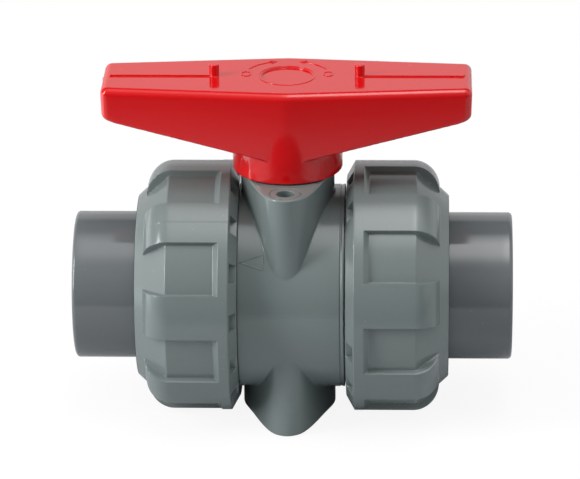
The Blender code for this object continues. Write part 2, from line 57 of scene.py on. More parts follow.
# The ball's centre in metres, from the joint that turns it.
JOINTS = frame["record"]["behaviour"]["joints"]
CENTRE = Vector(next(j for j in JOINTS if j["name"] == "quarter_turn")["pos_m"])


def extent(node):
    """The low and high corners of a CAD node's box, in mm about the ball's centre."""
    low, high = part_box(node)
    return (Vector(low) - CENTRE) * 1000, (Vector(high) - CENTRE) * 1000


# Dimensions that several pieces share
HOUSING_X0, HOUSING_X1 = (corner.x for corner in extent("body"))
BOLT_Y = 21.0  # flange bolts and foot inserts, either side of the stem
BALL_R, BORE_R = 19.0, 12.5
STEM_GROOVES = ((25.6, 27.8), (30.0, 32.2))  # bottom and top of each O-ring groove
SQUARE = 4.2  # half width of the stem's square end
HANDLE_TOP = 62.15


# ------------------------------------------------------------------------------- mesh helpers
def link_object(name, mesh):
    obj = bpy.data.objects.new(name, mesh)
    bpy.context.scene.collection.objects.link(obj)
    return obj


def smooth(mesh, sharp):
    """Smooth shading, with edges above sharp degrees left hard."""
    mesh.shade_smooth()
    mesh.set_sharp_from_angle(angle=math.radians(sharp))


def mesh_object(name, points, faces, sharp=None, normals=None):
    """Points in mm about the ball's centre, faces as index lists."""
    points = np.asarray(points, dtype=np.float64) * UNIT + np.array(CENTRE)
    mesh = bpy.data.meshes.new(name)
    mesh.from_pydata(points.tolist(), [], [list(map(int, face)) for face in faces])
    mesh.update()
    mesh.shade_smooth()
    if sharp is not None:
        mesh.set_sharp_from_angle(angle=math.radians(sharp))
    if normals is not None:
        mesh.normals_split_custom_set_from_vertices([tuple(normal) for normal in normals])
    return link_object(name, mesh)


def bmesh_object(name, shape, sharp):
    """An object from a bmesh in metres. Frees the bmesh."""
    mesh = bpy.data.meshes.new(name)
    shape.to_mesh(mesh)
    shape.free()
    smooth(mesh, sharp)
    return link_object(name, mesh)


def bmesh_object_mm(name, shape, sharp):
    """An object from a bmesh in mm about the ball's centre, with its faces turned outwards."""
    to_metres = Matrix.Translation(CENTRE) @ Matrix.Scale(UNIT, 4)
    bmesh.ops.transform(shape, matrix=to_metres, verts=shape.verts)
    bmesh.ops.recalc_face_normals(shape, faces=shape.faces)
    return bmesh_object(name, shape, sharp)


def face_out(obj):
    shape = bmesh.new()
    shape.from_mesh(obj.data)
    bmesh.ops.recalc_face_normals(shape, faces=shape.faces)
    if shape.calc_volume(signed=True) < 0:
        bmesh.ops.reverse_faces(shape, faces=shape.faces)
    shape.to_mesh(obj.data)
    shape.free()
    return obj


def grid_faces(rows, columns):
    """Quads over a grid of points that closes on itself both ways."""
    row, column = np.meshgrid(np.arange(rows), np.arange(columns), indexing="ij")
    next_row, next_column = (row + 1) % rows, (column + 1) % columns
    corners = [
        row * columns + column,
        row * columns + next_column,
        next_row * columns + next_column,
        next_row * columns + column,
    ]
    return np.stack(corners, axis=-1).reshape(-1, 4)


def rounded(profile, closed=True, step=18.0):
    """Rounds the corners of a polyline of (a, b, radius), with a point each step degrees."""
    out = []
    count = len(profile)
    for i, (x, y, radius) in enumerate(profile):
        if radius <= 0 or (not closed and i in (0, count - 1)):
            out.append((x, y))
            continue
        corner = np.array([x, y])
        back = np.array(profile[i - 1][:2]) - corner
        ahead = np.array(profile[(i + 1) % count][:2]) - corner
        back_length, ahead_length = np.hypot(*back), np.hypot(*ahead)
        back, ahead = back / back_length, ahead / ahead_length
        angle = math.acos(max(-1, min(1, float(back @ ahead))))
        if angle > math.radians(176):
            out.append((x, y))
            continue
        reach = min(radius / math.tan(angle / 2), 0.45 * back_length, 0.45 * ahead_length)
        radius = reach * math.tan(angle / 2)
        middle = (back + ahead) / np.hypot(*(back + ahead))
        centre = corner + middle * (radius / math.sin(angle / 2))
        start, end = corner + back * reach - centre, corner + ahead * reach - centre
        turn = math.atan2(start[0] * end[1] - start[1] * end[0], start @ end)
        pieces = max(2, int(math.ceil(abs(math.degrees(turn)) / step)))
        for k in range(pieces + 1):
            cos, sin = math.cos(turn * k / pieces), math.sin(turn * k / pieces)
            out.append((
                centre[0] + start[0] * cos - start[1] * sin,
                centre[1] + start[0] * sin + start[1] * cos,
            ))
    return out


def resample(points, longest, closed=True):
    """Splits long segments, so that faces stay near square."""
    out = []
    count = len(points)
    for i in range(count if closed else count - 1):
        start, end = np.array(points[i]), np.array(points[(i + 1) % count])
        pieces = max(1, int(math.ceil(np.hypot(*(end - start)) / longest)))
        for k in range(pieces):
            out.append(tuple(start + (end - start) * k / pieces))
    if not closed:
        out.append(points[-1])
    return out


def turned(name, profile, axis="X", steps=128, centre=(0, 0, 0)):
    """A closed profile of (along, radius), used point for point, turned about the X or Z axis."""
    points = np.array(profile)
    following = np.roll(points, -1, axis=0)
    if (points[:, 0] * following[:, 1] - following[:, 0] * points[:, 1]).sum() < 0:
        points = points[::-1]
    turn = np.arange(steps) * 2 * math.pi / steps
    along = np.broadcast_to(points[:, 0][:, None], (len(points), steps))
    radius = points[:, 1][:, None]
    if axis == "X":
        place = [along, -radius * np.cos(turn), radius * np.sin(turn)]
    else:
        place = [radius * np.cos(turn), radius * np.sin(turn), along]
    verts = np.stack(place, axis=-1).reshape(-1, 3) + np.array(centre)
    return face_out(mesh_object(name, verts, grid_faces(len(points), steps), sharp=35))


def turned_solid(name, profile, steps=96, longest=40):
    """An open profile of (z, radius, rounding), turned about Z. Its two ends lie on the axis."""
    shape = bmesh.new()
    rings = []
    for z, radius in resample(rounded(profile, closed=False), longest, closed=False):
        ring = []
        for k in range(steps if radius > 1e-6 else 1):
            turn = 2 * math.pi * k / steps
            place = Vector((radius * math.cos(turn), radius * math.sin(turn), z))
            ring.append(shape.verts.new(place * UNIT + CENTRE))
        rings.append(ring)
    for low, high in zip(rings, rings[1:]):
        for k in range(steps):
            after = k + 1
            quad = [low[k % len(low)], low[after % len(low)],
                    high[after % len(high)], high[k % len(high)]]
            corners = [vert for i, vert in enumerate(quad) if vert not in quad[:i]]
            if len(corners) > 2:
                shape.faces.new(corners)
    bmesh.ops.recalc_face_normals(shape, faces=shape.faces)
    return face_out(bmesh_object(name, shape, sharp=35))


def block(name, size_x, size_y, bottom, top, bevel=0):
    """A box about the stem axis."""
    shape = bmesh.new()
    bmesh.ops.create_cube(shape, size=1.0)
    place = Matrix.Translation((0, 0, (bottom + top) / 2))
    size = Matrix.Diagonal((size_x, size_y, top - bottom, 1))
    bmesh.ops.transform(shape, matrix=place @ size, verts=shape.verts)
    if bevel:
        bmesh.ops.bevel(shape, geom=list(shape.edges), offset=bevel, segments=3, profile=0.5,
                        affect="EDGES")
    return bmesh_object_mm(name, shape, sharp=30)


def boolean(obj, other, operation):
    """Applies a boolean to obj and removes the other object."""
    modifier = obj.modifiers.new("bool", "BOOLEAN")
    modifier.operation, modifier.solver, modifier.object = operation, "EXACT", other
    bpy.context.view_layer.update()
    evaluated = obj.evaluated_get(bpy.context.evaluated_depsgraph_get())
    mesh = bpy.data.meshes.new_from_object(evaluated)
    obj.modifiers.clear()
    obj.data = mesh
    bpy.data.objects.remove(other, do_unlink=True)
    shape = bmesh.new()
    shape.from_mesh(mesh)
    bmesh.ops.remove_doubles(shape, verts=shape.verts, dist=1e-7)
    bmesh.ops.dissolve_degenerate(shape, dist=1e-7, edges=shape.edges)
    shape.to_mesh(mesh)
    shape.free()
    smooth(mesh, sharp=30)
    return obj


def merged(name, objs):
    shape = bmesh.new()
    for obj in objs:
        shape.from_mesh(obj.data)
        bpy.data.objects.remove(obj, do_unlink=True)
    return bmesh_object(name, shape, sharp=45)


def path_directions(path, closed):
    """Unit tangents and left-hand normals along a flat path."""
    tangents = np.roll(path, -1, 0) - np.roll(path, 1, 0)
    if not closed:
        tangents[0], tangents[-1] = path[1] - path[0], path[-1] - path[-2]
    tangents /= np.linalg.norm(tangents, axis=1, keepdims=True)
    return tangents, np.stack([-tangents[:, 1], tangents[:, 0]], axis=1)


# ------------------------------------------------------------------------------- signed distances
# Each is negative inside the shape.
def cylinder(along, off_axis, start, end, radius, edge):
    """Cylinder with rounded edges. along and off_axis place a point on and off its axis."""
    past_end = np.abs(along - (start + end) / 2) - ((end - start) / 2 - edge)
    past_side = off_axis - (radius - edge)
    outside = np.hypot(np.maximum(past_end, 0), np.maximum(past_side, 0))
    return np.minimum(np.maximum(past_end, past_side), 0) + outside - edge


def polygon(along, across, outline):
    """Exact signed distance to a polygon in the (along, across) plane."""
    corners = np.array(outline, dtype=np.float32)
    squared = np.full(np.shape(along), 1e9, dtype=np.float32)
    sign = np.ones(np.shape(along), dtype=np.float32)
    for i in range(len(corners)):
        corner, previous = corners[i], corners[i - 1]
        edge_x, edge_y = previous[0] - corner[0], previous[1] - corner[1]
        off_x, off_y = along - corner[0], across - corner[1]
        share = (off_x * edge_x + off_y * edge_y) / (edge_x * edge_x + edge_y * edge_y)
        share = np.clip(share, 0, 1)
        gap_x, gap_y = off_x - edge_x * share, off_y - edge_y * share
        squared = np.minimum(squared, gap_x * gap_x + gap_y * gap_y)
        above = across >= corner[1]
        below = across < previous[1]
        left = edge_x * off_y > edge_y * off_x
        crosses = (above & below & left) | (~above & ~below & ~left)
        sign = np.where(crosses, -sign, sign)
    return sign * np.sqrt(squared)


def join(one, other, radius):
    """Union with a round fillet."""
    corner = np.hypot(np.maximum(radius - one, 0), np.maximum(radius - other, 0))
    return np.maximum(radius, np.minimum(one, other)) - corner


def common(one, other, radius):
    """Intersection with a rounded edge."""
    corner = np.hypot(np.maximum(radius + one, 0), np.maximum(radius + other, 0))
    return np.minimum(-radius, np.maximum(one, other)) + corner


def cut(one, other, radius):
    """One less the other, with a rounded edge."""
    return common(one, -other, radius)


def thread(x, off_axis, turn, start, end, root, crest, pitch, base_width, crest_width):
    """Helical ridge about X between start and end, faded out at both ends."""
    shift = (x - start) / pitch - turn / (2 * math.pi)
    shift = (shift - np.round(shift)) * pitch
    fade = np.clip(np.minimum(x - start, end - x) / (pitch * 0.35), -1, 1)
    top = root - 0.4 + (crest - root + 0.4) * fade
    slope = (base_width - crest_width) / 2 / (crest - root)
    side = np.abs(shift) - crest_width / 2 - (crest - off_axis) * slope
    ridge = common(off_axis - top, side / math.hypot(1, slope), 0.25)
    # only a band at the root, so that nothing fills the bore or stands past the ends
    return np.maximum(ridge, np.maximum(root - 0.6 - off_axis, np.maximum(start - x, x - end)))


def grid_lines(low, high, step, fine=()):
    """Grid lines from low to high, closer in the fine ranges (start, end, step)."""
    out, x = [low], low
    while x < high:
        stride = step
        for start, end, fine_step in fine:
            if start - 1e-6 <= x < end:
                stride = min(stride, fine_step)
            elif x < start < x + stride:
                stride = min(stride, start - x)
        x += stride
        out.append(x)
    return np.array(out)


def surface_points(value, axes, cells):
    """The mean of the points where each cell's edges cross the surface."""
    points, hits = np.zeros((len(cells[0]), 3)), np.zeros(len(cells[0]))
    for axis in range(3):
        first, second = [k for k in range(3) if k != axis]
        for i in (0, 1):
            for j in (0, 1):
                start = cells.copy()
                start[first] += i
                start[second] += j
                end = start.copy()
                end[axis] += 1
                near, far = value[tuple(start)], value[tuple(end)]
                crosses = (near < 0) != (far < 0)
                share = np.where(crosses, near / np.where(crosses, near - far, 1), 0)
                place = [axes[k][start[k]] for k in range(3)]
                place[axis] = place[axis] + share * (axes[axis][end[axis]] - place[axis])
                for k in range(3):
                    points[:, k] += np.where(crosses, place[k], 0)
                hits += crosses
    return points / hits[:, None]


def surface_quads(inside, index):
    """One quad round each grid edge that crosses the surface."""
    quads = []
    for axis in range(3):
        first, second = (axis + 1) % 3, (axis + 2) % 3
        low = [slice(None)] * 3
        high = [slice(None)] * 3
        low[axis], high[axis] = slice(0, -1), slice(1, None)
        before, after = inside[tuple(low)], inside[tuple(high)]
        edges = np.stack(np.nonzero(before != after))
        kept = (edges[first] > 0) & (edges[second] > 0)
        kept &= edges[first] < inside.shape[first] - 1
        kept &= edges[second] < inside.shape[second] - 1
        edges = edges[:, kept]
        corners = []
        for i, j in ((1, 1), (0, 1), (0, 0), (1, 0)):
            cell = edges.copy()
            cell[first] -= i
            cell[second] -= j
            corners.append(index[tuple(cell)])
        quad = np.stack(corners, axis=-1)
        leaves = ~before[tuple(edges)]
        quad[leaves] = quad[leaves][:, ::-1]
        quads.append(quad)
    return np.concatenate(quads)


def surface(name, distance, x_lines, y_lines, z_lines):
    """Meshes distance(x, y, z) = 0 by surface nets, then moves each point onto the surface."""
    axes = (x_lines, y_lines, z_lines)
    grid = np.meshgrid(*(values.astype(np.float32) for values in axes), indexing="ij")
    value = distance(*grid).astype(np.float32)
    del grid
    inside = value < 0
    size_x, size_y, size_z = (size - 1 for size in inside.shape)
    corners_in = sum(
        inside[i : i + size_x, j : j + size_y, k : k + size_z].astype(np.int8)
        for i in (0, 1) for j in (0, 1) for k in (0, 1)
    )
    active = (corners_in > 0) & (corners_in < 8)
    cells = np.stack(np.nonzero(active))
    index = np.full(active.shape, -1, dtype=np.int64)
    index[tuple(cells)] = np.arange(len(cells[0]))
    points = surface_points(value, axes, cells)
    quads = surface_quads(inside, index)

    def at(places):
        return distance(places[:, 0], places[:, 1], places[:, 2])

    def gradient(places, reach):
        out = np.empty_like(places)
        for axis in range(3):
            shift = np.zeros(3)
            shift[axis] = reach
            out[:, axis] = (at(places + shift) - at(places - shift)) / (2 * reach)
        return out

    for _ in range(3):
        off, slope = at(points), gradient(points, 0.02)
        move = -(off / np.maximum((slope * slope).sum(1), 0.2))[:, None] * slope
        size = np.linalg.norm(move, axis=1, keepdims=True)
        points += move * np.minimum(1, 0.25 / np.maximum(size, 1e-9))
    normals = gradient(points, 0.05)
    normals /= np.maximum(np.linalg.norm(normals, axis=1, keepdims=True), 1e-9)
    return mesh_object(name, points, quads, normals=normals)


# ------------------------------------------------------------------------------- housing
FLANGE_Z, FOOT_Z = 35.54, -35.4
COLUMN_R = 12.95
BARREL_X, BARREL_R = (-13.385, 15.88), 28.35
NECK_R, THREAD_CREST_R = 26.4, 27.9
NECK_THREADS = ((-27.6, -17.2), (18.9, 30.4))  # start and end x, on the left and right necks
STEM_BORE_R, STEM_POCKET_R = 6.25, 9.0

# The hollow inside the housing: (x, radius). It runs past both ends and the axis.
CORE = [
    (HOUSING_X0 - 6, -5), (HOUSING_X0 - 6, 12.9), (HOUSING_X0, 12.9), (HOUSING_X0 + 0.3, 12.6),
    (-17.8, 12.6), (-17.8, 17.5), (-11.3, 17.5), (-11.3, 22.0), (15.0, 22.0), (15.0, 22.3),
    (20.0, 22.3), (20.6, 22.9), (HOUSING_X1, 22.9), (HOUSING_X1 + 6, 22.9), (HOUSING_X1 + 6, -5),
]
# O-ring groove in the left end face: (x, radius)
RING_GROOVE = [
    (HOUSING_X0 - 3, 14.5), (HOUSING_X0 + 2.6, 14.5),
    (HOUSING_X0 + 2.6, 17.9), (HOUSING_X0 - 3, 17.9),
]


def column(x, y, z):
    """Round pad about the stem axis with straight flanks that lean in to a bowed front, and
    the same behind. Towards the flange and the foot the flanks open out and the front bows
    further."""
    flare = np.clip((np.abs(z) - 14) / 21, 0, 1)
    flare = flare * flare * (3 - 2 * flare)
    foot_flare = np.where(z < 0, flare, 0)
    lean = np.radians(21.0 - 3.4 * flare + 1.6 * foot_flare)
    bow = 12 - 3 * flare
    reach = 25.6 + 0.04 * np.maximum(z - 13, 0) - 0.02 * np.maximum(-12 - z, 0)
    cos, sin = np.cos(lean), np.sin(lean)
    side_x, side_y = np.abs(x), np.abs(y)
    waist = 0.25 * foot_flare * np.clip((side_y - 4) / 6, 0, 1)
    pad = np.hypot(side_x, side_y) - COLUMN_R
    flank = side_x * cos + side_y * sin - COLUMN_R + waist
    side = np.where(side_y * cos < side_x * sin, pad, flank)
    end = (side_y - reach + side_x * side_x / bow) / np.hypot(1, 2 * side_x / bow)
    return common(side, end, 1.1 + 0.9 * foot_flare)


def housing_outside(x, y, z, radial):
    barrel = cylinder(x, radial, *BARREL_X, radius=BARREL_R, edge=0.08)
    # round groove near the barrel's right end, and a thin raised line along front and back
    groove = np.hypot(x - 14.92, radial - 28.46) - 0.30
    barrel = cut(barrel, groove, 0.08)
    line = np.maximum(np.abs(z - 1.28) - 0.08, radial - 28.38)
    barrel = np.minimum(barrel, np.maximum(line, np.maximum(-12.6 - x, x - 14.4)))
    slab = np.maximum(z - FLANGE_Z, FOOT_Z - z)
    outside = common(column(x, y, z), slab, 0.55)
    outside = join(barrel, outside, np.where(z > 0, 0.22, 0.35))
    outside = common(outside, -13.37 - x, 0.08)
    neck = cylinder(x, radial, HOUSING_X0, HOUSING_X1, radius=NECK_R, edge=0.7)
    turn = np.arctan2(z, y)
    threads = [
        thread(x, radial, turn, start, end, root=NECK_R, crest=THREAD_CREST_R, pitch=5.0,
               base_width=3.2, crest_width=1.6)
        for start, end in NECK_THREADS
    ]
    return np.minimum(outside, join(neck, np.minimum(*threads), 0.3))


def housing_distance(x, y, z):
    radial = np.hypot(y, z)
    body = cut(housing_outside(x, y, z, radial), polygon(x, radial, CORE), 0.3)
    body = cut(body, polygon(x, radial, RING_GROOVE), 0.2)
    # stem passage
    rho = np.hypot(x, y)
    body = cut(body, cylinder(z, rho, 5.0, 24.1, radius=STEM_POCKET_R, edge=0.2), 0.25)
    body = cut(body, cylinder(z, rho, 20.0, 45.0, radius=STEM_BORE_R, edge=0.2), 0.35)
    # flange holes, each with a fine ring groove round it, and the foot's insert holes
    hole = np.hypot(x, np.abs(y) - BOLT_Y)
    body = cut(body, cylinder(z, hole, 24.5, 45.0, radius=2.45, edge=0.2), 0.2)
    body = cut(body, np.maximum(np.abs(hole - 4.22) - 0.17, FLANGE_Z - 0.2 - z), 0.06)
    body = cut(body, cylinder(z, hole, -45.0, -26.0, radius=3.5, edge=0.2), 0.25)
    # quarter-turn stops inside the handle's skirt
    angle = np.degrees(np.arctan2(y, x)) % 180
    swing = (np.abs(angle - 45) - 24) * np.radians(1) * rho
    stop = common(np.abs(rho - 10.9) - 1.9, swing, 0.3)
    stop = common(stop, np.maximum(z - 39.0, 33.0 - z), 0.3)
    return np.minimum(body, stop)


def make_housing():
    step = 0.52
    near = 0.26
    return surface(
        "valve_housing", housing_distance,
        grid_lines(HOUSING_X0 - 1, HOUSING_X1 + 1.5, step,
                   [(-13.6, -13.0, 0.07), (-4.8, 4.8, near), (14.5, 16.2, 0.12)]),
        grid_lines(-28.9, 28.9 + step, step, [(-25.7, -16.3, near), (16.3, 25.7, near)]),
        grid_lines(-36.2, 39.8, step,
                   [(-35.7, -34.7, 0.2), (0.95, 1.6, 0.12), (34.9, 36.0, 0.14)]),
    )


ARROW_R = 28.33  # radius the arrow is laid on
ARROW_TALL, ARROW_HALF = 0.17, 0.17  # height and half width of its ridge
ARROW_CORNERS = [(-12.75, 34.6), (-6.3, 39.2), (-6.3, 30.4)]  # x, degrees up from the front


def make_arrow():
    """Raised outline of the flow arrow on the housing's front, pointing to -X."""
    points = []
    for i in range(3):
        start, end = np.array(ARROW_CORNERS[i]), np.array(ARROW_CORNERS[(i + 1) % 3])
        for k in range(8):
            points.append(start + (end - start) * k / 8)
    path = np.array([(x, math.radians(angle) * ARROW_R) for x, angle in points])
    _, normals = path_directions(path, closed=True)
    half, tall = ARROW_HALF, ARROW_TALL
    section = [
        (half, -0.25), (half, 0.02), (half * 0.6, tall * 0.85), (0, tall),
        (-half * 0.6, tall * 0.85), (-half, 0.02), (-half, -0.25),
    ]
    verts = []
    for point, normal in zip(path, normals):
        for aside, height in section:
            x, arc = point + normal * aside
            angle, radius = arc / ARROW_R, ARROW_R + height
            verts.append((x, -radius * math.cos(angle), radius * math.sin(angle)))
    faces = grid_faces(len(path), len(section))
    return face_out(mesh_object("flow_arrow", verts, faces, sharp=50))


# ------------------------------------------------------------------------------- union nuts
NUT_LENGTH, NUT_R = 28.4, 35.0
NUT_CHAMFER_R = 30.9  # at the inner face
NUT_FLOOR_R = 33.5  # between the ribs
NUT_END_R, NUT_HOLE_R, NUT_BORE_R = 25.3, 20.95, 28.3
CONE_START, NOSE_START, NOSE_LENGTH = 19.4, 18.6, 7.25
RIB_HALF, RIB_PITCH, RIBS = 6.25, 45, 8  # half width in mm, degrees, count
POCKET_SPAN, POCKET_PITCH, POCKETS = 8.8, 24, 15  # degrees, degrees, count

# Mesh columns in degrees: either side of a rib's middle, off a recess's ends, about a seam
RIB_COLUMNS = [
    0, 1.6, 3.2, 4.8, 6.4, 7.8, 8.8, 9.5, 9.95, 10.2, 10.4, 10.55, 10.7, 10.85, 11.0, 11.2, 11.45,
    11.75, 12.05, 12.35, 12.65, 12.95, 13.25, 13.55, 13.9, 14.5, 15.6, 17.2, 19.0, 20.8, 22.5,
]
POCKET_COLUMNS = (-0.45, -0.2, -0.05, 0.08, 0.3)
SEAM_COLUMNS = (-0.5, -0.28, -0.14, 0, 0.14, 0.28, 0.5)
# Mesh rows in mm from the nut's inner face, close together at edges
NUT_ROWS = np.array([
    0.0, 0.04, 0.1, 0.18, 0.35, 0.6, 0.9, 1.2, 1.5, 1.7, 1.8, 1.86, 1.92, 1.98, 2.04, 2.12, 2.22,
    2.34, 2.5, 2.75, 3.1, 3.7, 4.3, 4.7, 4.85, 4.97, 5.08, 5.2, 5.35, 5.55, 5.8, 6.0, 6.15, 6.3,
    6.45, 6.6, 6.9, 7.5, 8.5, 9.8, 11.2, 12.6, 14, 15.4, 16.8, 17.8, 18.6, 19.0, 19.2, 19.35, 19.5,
    19.65, 19.8, 20.1, 20.5, 20.9, 21.3, 21.7, 22.1, 22.5, 22.9, 23.3, 23.7, 24.0, 24.3, 24.55,
    24.8, 25.0, 25.2, 25.35, 25.5, 25.62, 25.72, 25.8, 25.88, 26.0, 26.2, 26.6, 27.2, 27.7, 28.0,
    28.18, 28.3, 28.37,
])
# Inside of the nut, from the outer end back to the inner face: (length, radius, rounding)
NUT_INSIDE = [
    (NUT_LENGTH, NUT_END_R, 0), (NUT_LENGTH, NUT_HOLE_R, 0.5), (21.9, NUT_HOLE_R, 0.4),
    (21.9, NUT_BORE_R, 0.4), (0, NUT_BORE_R, 0.45), (0, NUT_CHAMFER_R, 0),
]


def smooth_max(one, other, width):
    share = np.clip(0.5 + 0.5 * (one - other) / width, 0, 1)
    return other * (1 - share) + one * share + width * share * (1 - share)


def smooth_min(one, other, width):
    return -smooth_max(-one, -other, width)


def nut_columns(first_rib, seam_angle, pocket_top):
    """Column angles, close together where a rib's side, a recess's end or a seam stands."""
    angles = [first_rib + RIB_PITCH * k + s * a
              for k in range(RIBS) for a in RIB_COLUMNS for s in (-1, 1)]
    for k in range(POCKETS):
        for offset in POCKET_COLUMNS:
            angles.append(pocket_top + POCKET_PITCH * k + offset)
            angles.append(pocket_top - POCKET_SPAN + POCKET_PITCH * k - offset)
    for offset in SEAM_COLUMNS:
        angles += [seam_angle + offset, seam_angle + 180 + offset]
    phis = np.array(sorted({round(angle % 360, 3) for angle in angles}))
    keep = np.ones(len(phis), bool)
    keep[1:] = np.diff(phis) > 0.06
    return phis[keep]


def nut_between_ribs(along, chamfer):
    """Turned shape between the ribs."""
    drop = (NUT_FLOOR_R - NUT_END_R) / (NUT_LENGTH - CONE_START)
    cone = NUT_FLOOR_R - (along - CONE_START) * drop
    end_wall = NUT_R - (along - 5.0) * 1.5 / 1.4
    floor = smooth_max(NUT_FLOOR_R, end_wall, 0.14)
    radius = smooth_min(smooth_min(NUT_R, floor, 0.14), chamfer, 0.2)
    radius = smooth_min(radius, cone, 0.16)
    edge = 0.6
    into_edge = (along - (NUT_LENGTH - edge)).clip(0)
    end_round = NUT_END_R + np.sqrt(np.clip(edge**2 - into_edge**2, 0, None)) - edge
    return smooth_min(radius, end_round + (NUT_LENGTH - along) * 0.9 + 0.25, 0.1)


def nut_ribs(along, angle, chamfer):
    """Ribs with parallel sides and an elliptical nose. angle is from the first rib's middle."""
    half_pitch = RIB_PITCH / 2
    off_rib = ((angle + half_pitch) % RIB_PITCH) - half_pitch
    ellipse = np.sqrt(np.clip(1 - ((along - NOSE_START) / NOSE_LENGTH) ** 2, 0, 1))
    nose = np.where(along <= NOSE_START, NUT_R, 27.3 + 7.7 * ellipse)
    nose = np.where(along > 25.86, 0, nose)
    wall = RIB_HALF / np.maximum(np.abs(np.sin(np.radians(off_rib))), 1e-4)
    # the sides lean out a little towards the floor
    wall = wall + (wall - NUT_R) * 0.10
    return smooth_min(smooth_min(nose, chamfer, 0.2), wall, 0.34)


def make_nut(name, inner_x, side, first_rib, pocket_top, seam, missing=()):
    """A grid of radius against length from the nut's inner face and angle from -Y towards +Z.
    side is the X direction it runs in. missing lists the ends of recesses left out."""
    seam_angle = (first_rib + RIB_PITCH) % 360
    phi = nut_columns(first_rib, seam_angle, pocket_top)
    along, angle = np.meshgrid(NUT_ROWS, phi, indexing="ij")
    chamfer = NUT_CHAMFER_R + (along / 2.3) * 4.1
    ribs = nut_ribs(along, angle - first_rib, chamfer)
    radius = smooth_max(nut_between_ribs(along, chamfer), ribs, 0.16)
    # plain collar at the inner end
    radius = np.where(along < 4.9, smooth_min(NUT_R, chamfer, 0.2), radius)
    collar_edge = (along >= 4.9) & (along < 5.0)
    radius = np.where(collar_edge, np.minimum(NUT_R, radius + 0.02), radius)
    # seam line where the mould halves met
    for turn in (0, 180):
        off_seam = ((angle - seam_angle - turn + 180) % 360 - 180) * math.radians(1) * 34
        on_side = (along > 0.4) & (along < 27.8)
        radius = radius + seam * np.exp(-((off_seam / 0.13) ** 2)) * on_side
    # ratchet recesses in the chamfer
    in_pocket = (angle - pocket_top + POCKET_SPAN) % POCKET_PITCH
    into = np.minimum(in_pocket, POCKET_SPAN - in_pocket) / 0.12
    deep = np.clip(into, 0, 1) * np.clip((1.98 - along) / 0.10, 0, 1)
    for top in missing:
        deep = deep * (np.abs((angle - top + POCKET_SPAN / 2 + 180) % 360 - 180) > 7)
    radius = radius * (1 - deep) + np.minimum(radius, 31.15) * deep
    radius[0] = np.minimum(radius[0], 30.75)

    inside = resample(rounded(NUT_INSIDE, closed=False), 2.5, closed=False)[:-1]
    inside = np.repeat(np.array(inside)[:, :, None], len(phi), 2)
    along = np.concatenate([along, inside[:, 0]])
    radius = np.concatenate([radius, inside[:, 1]])
    turn = np.radians(np.broadcast_to(phi, along.shape))
    place = [inner_x + side * along, -radius * np.cos(turn), radius * np.sin(turn)]
    verts = np.stack(place, axis=-1).reshape(-1, 3)
    return face_out(mesh_object(name, verts, grid_faces(len(along), len(phi)), sharp=42))


# ------------------------------------------------------------------------------- end connectors
CONNECTOR_LENGTH, CONNECTOR_R = 30.2, 20.5
COLLAR_R, COLLAR_LENGTH = 26.2, 5.7
PASSAGE_R = 12.6
SOCKET_FLOOR = CONNECTOR_LENGTH - 22.2
# (length from the inner face, radius, rounding)
CONNECTOR = [
    (0, PASSAGE_R, 0.4), (0, COLLAR_R, 0.5),
    (COLLAR_LENGTH, COLLAR_R, 0.5), (COLLAR_LENGTH, CONNECTOR_R, 0.6),
    (CONNECTOR_LENGTH, CONNECTOR_R, 1.1), (CONNECTOR_LENGTH, 16.1, 0.9),
    (SOCKET_FLOOR, 16.02, 0.4), (SOCKET_FLOOR, PASSAGE_R, 0.4),
]


def make_connector(name, face_x, side):
    profile = resample(rounded(CONNECTOR, step=9), 2.0)
    profile = [(face_x + side * along, radius) for along, radius in profile]
    return turned(name, profile, steps=160)


# ------------------------------------------------------------------------------- handle
ARM_HALF_WIDTH, ARM_TAPER, ARM_REACH = 16.1, 0.0925, 50.75  # in the middle, per mm, end x
ARM_UNDERSIDE, ARM_RISE = 41.05, 0.2357  # underside height on the axis, and its rise per mm of x
HUB_R, HUB_BOTTOM = 15.3, 35.88
PEG_X, PEG_R = 20.0, 1.37


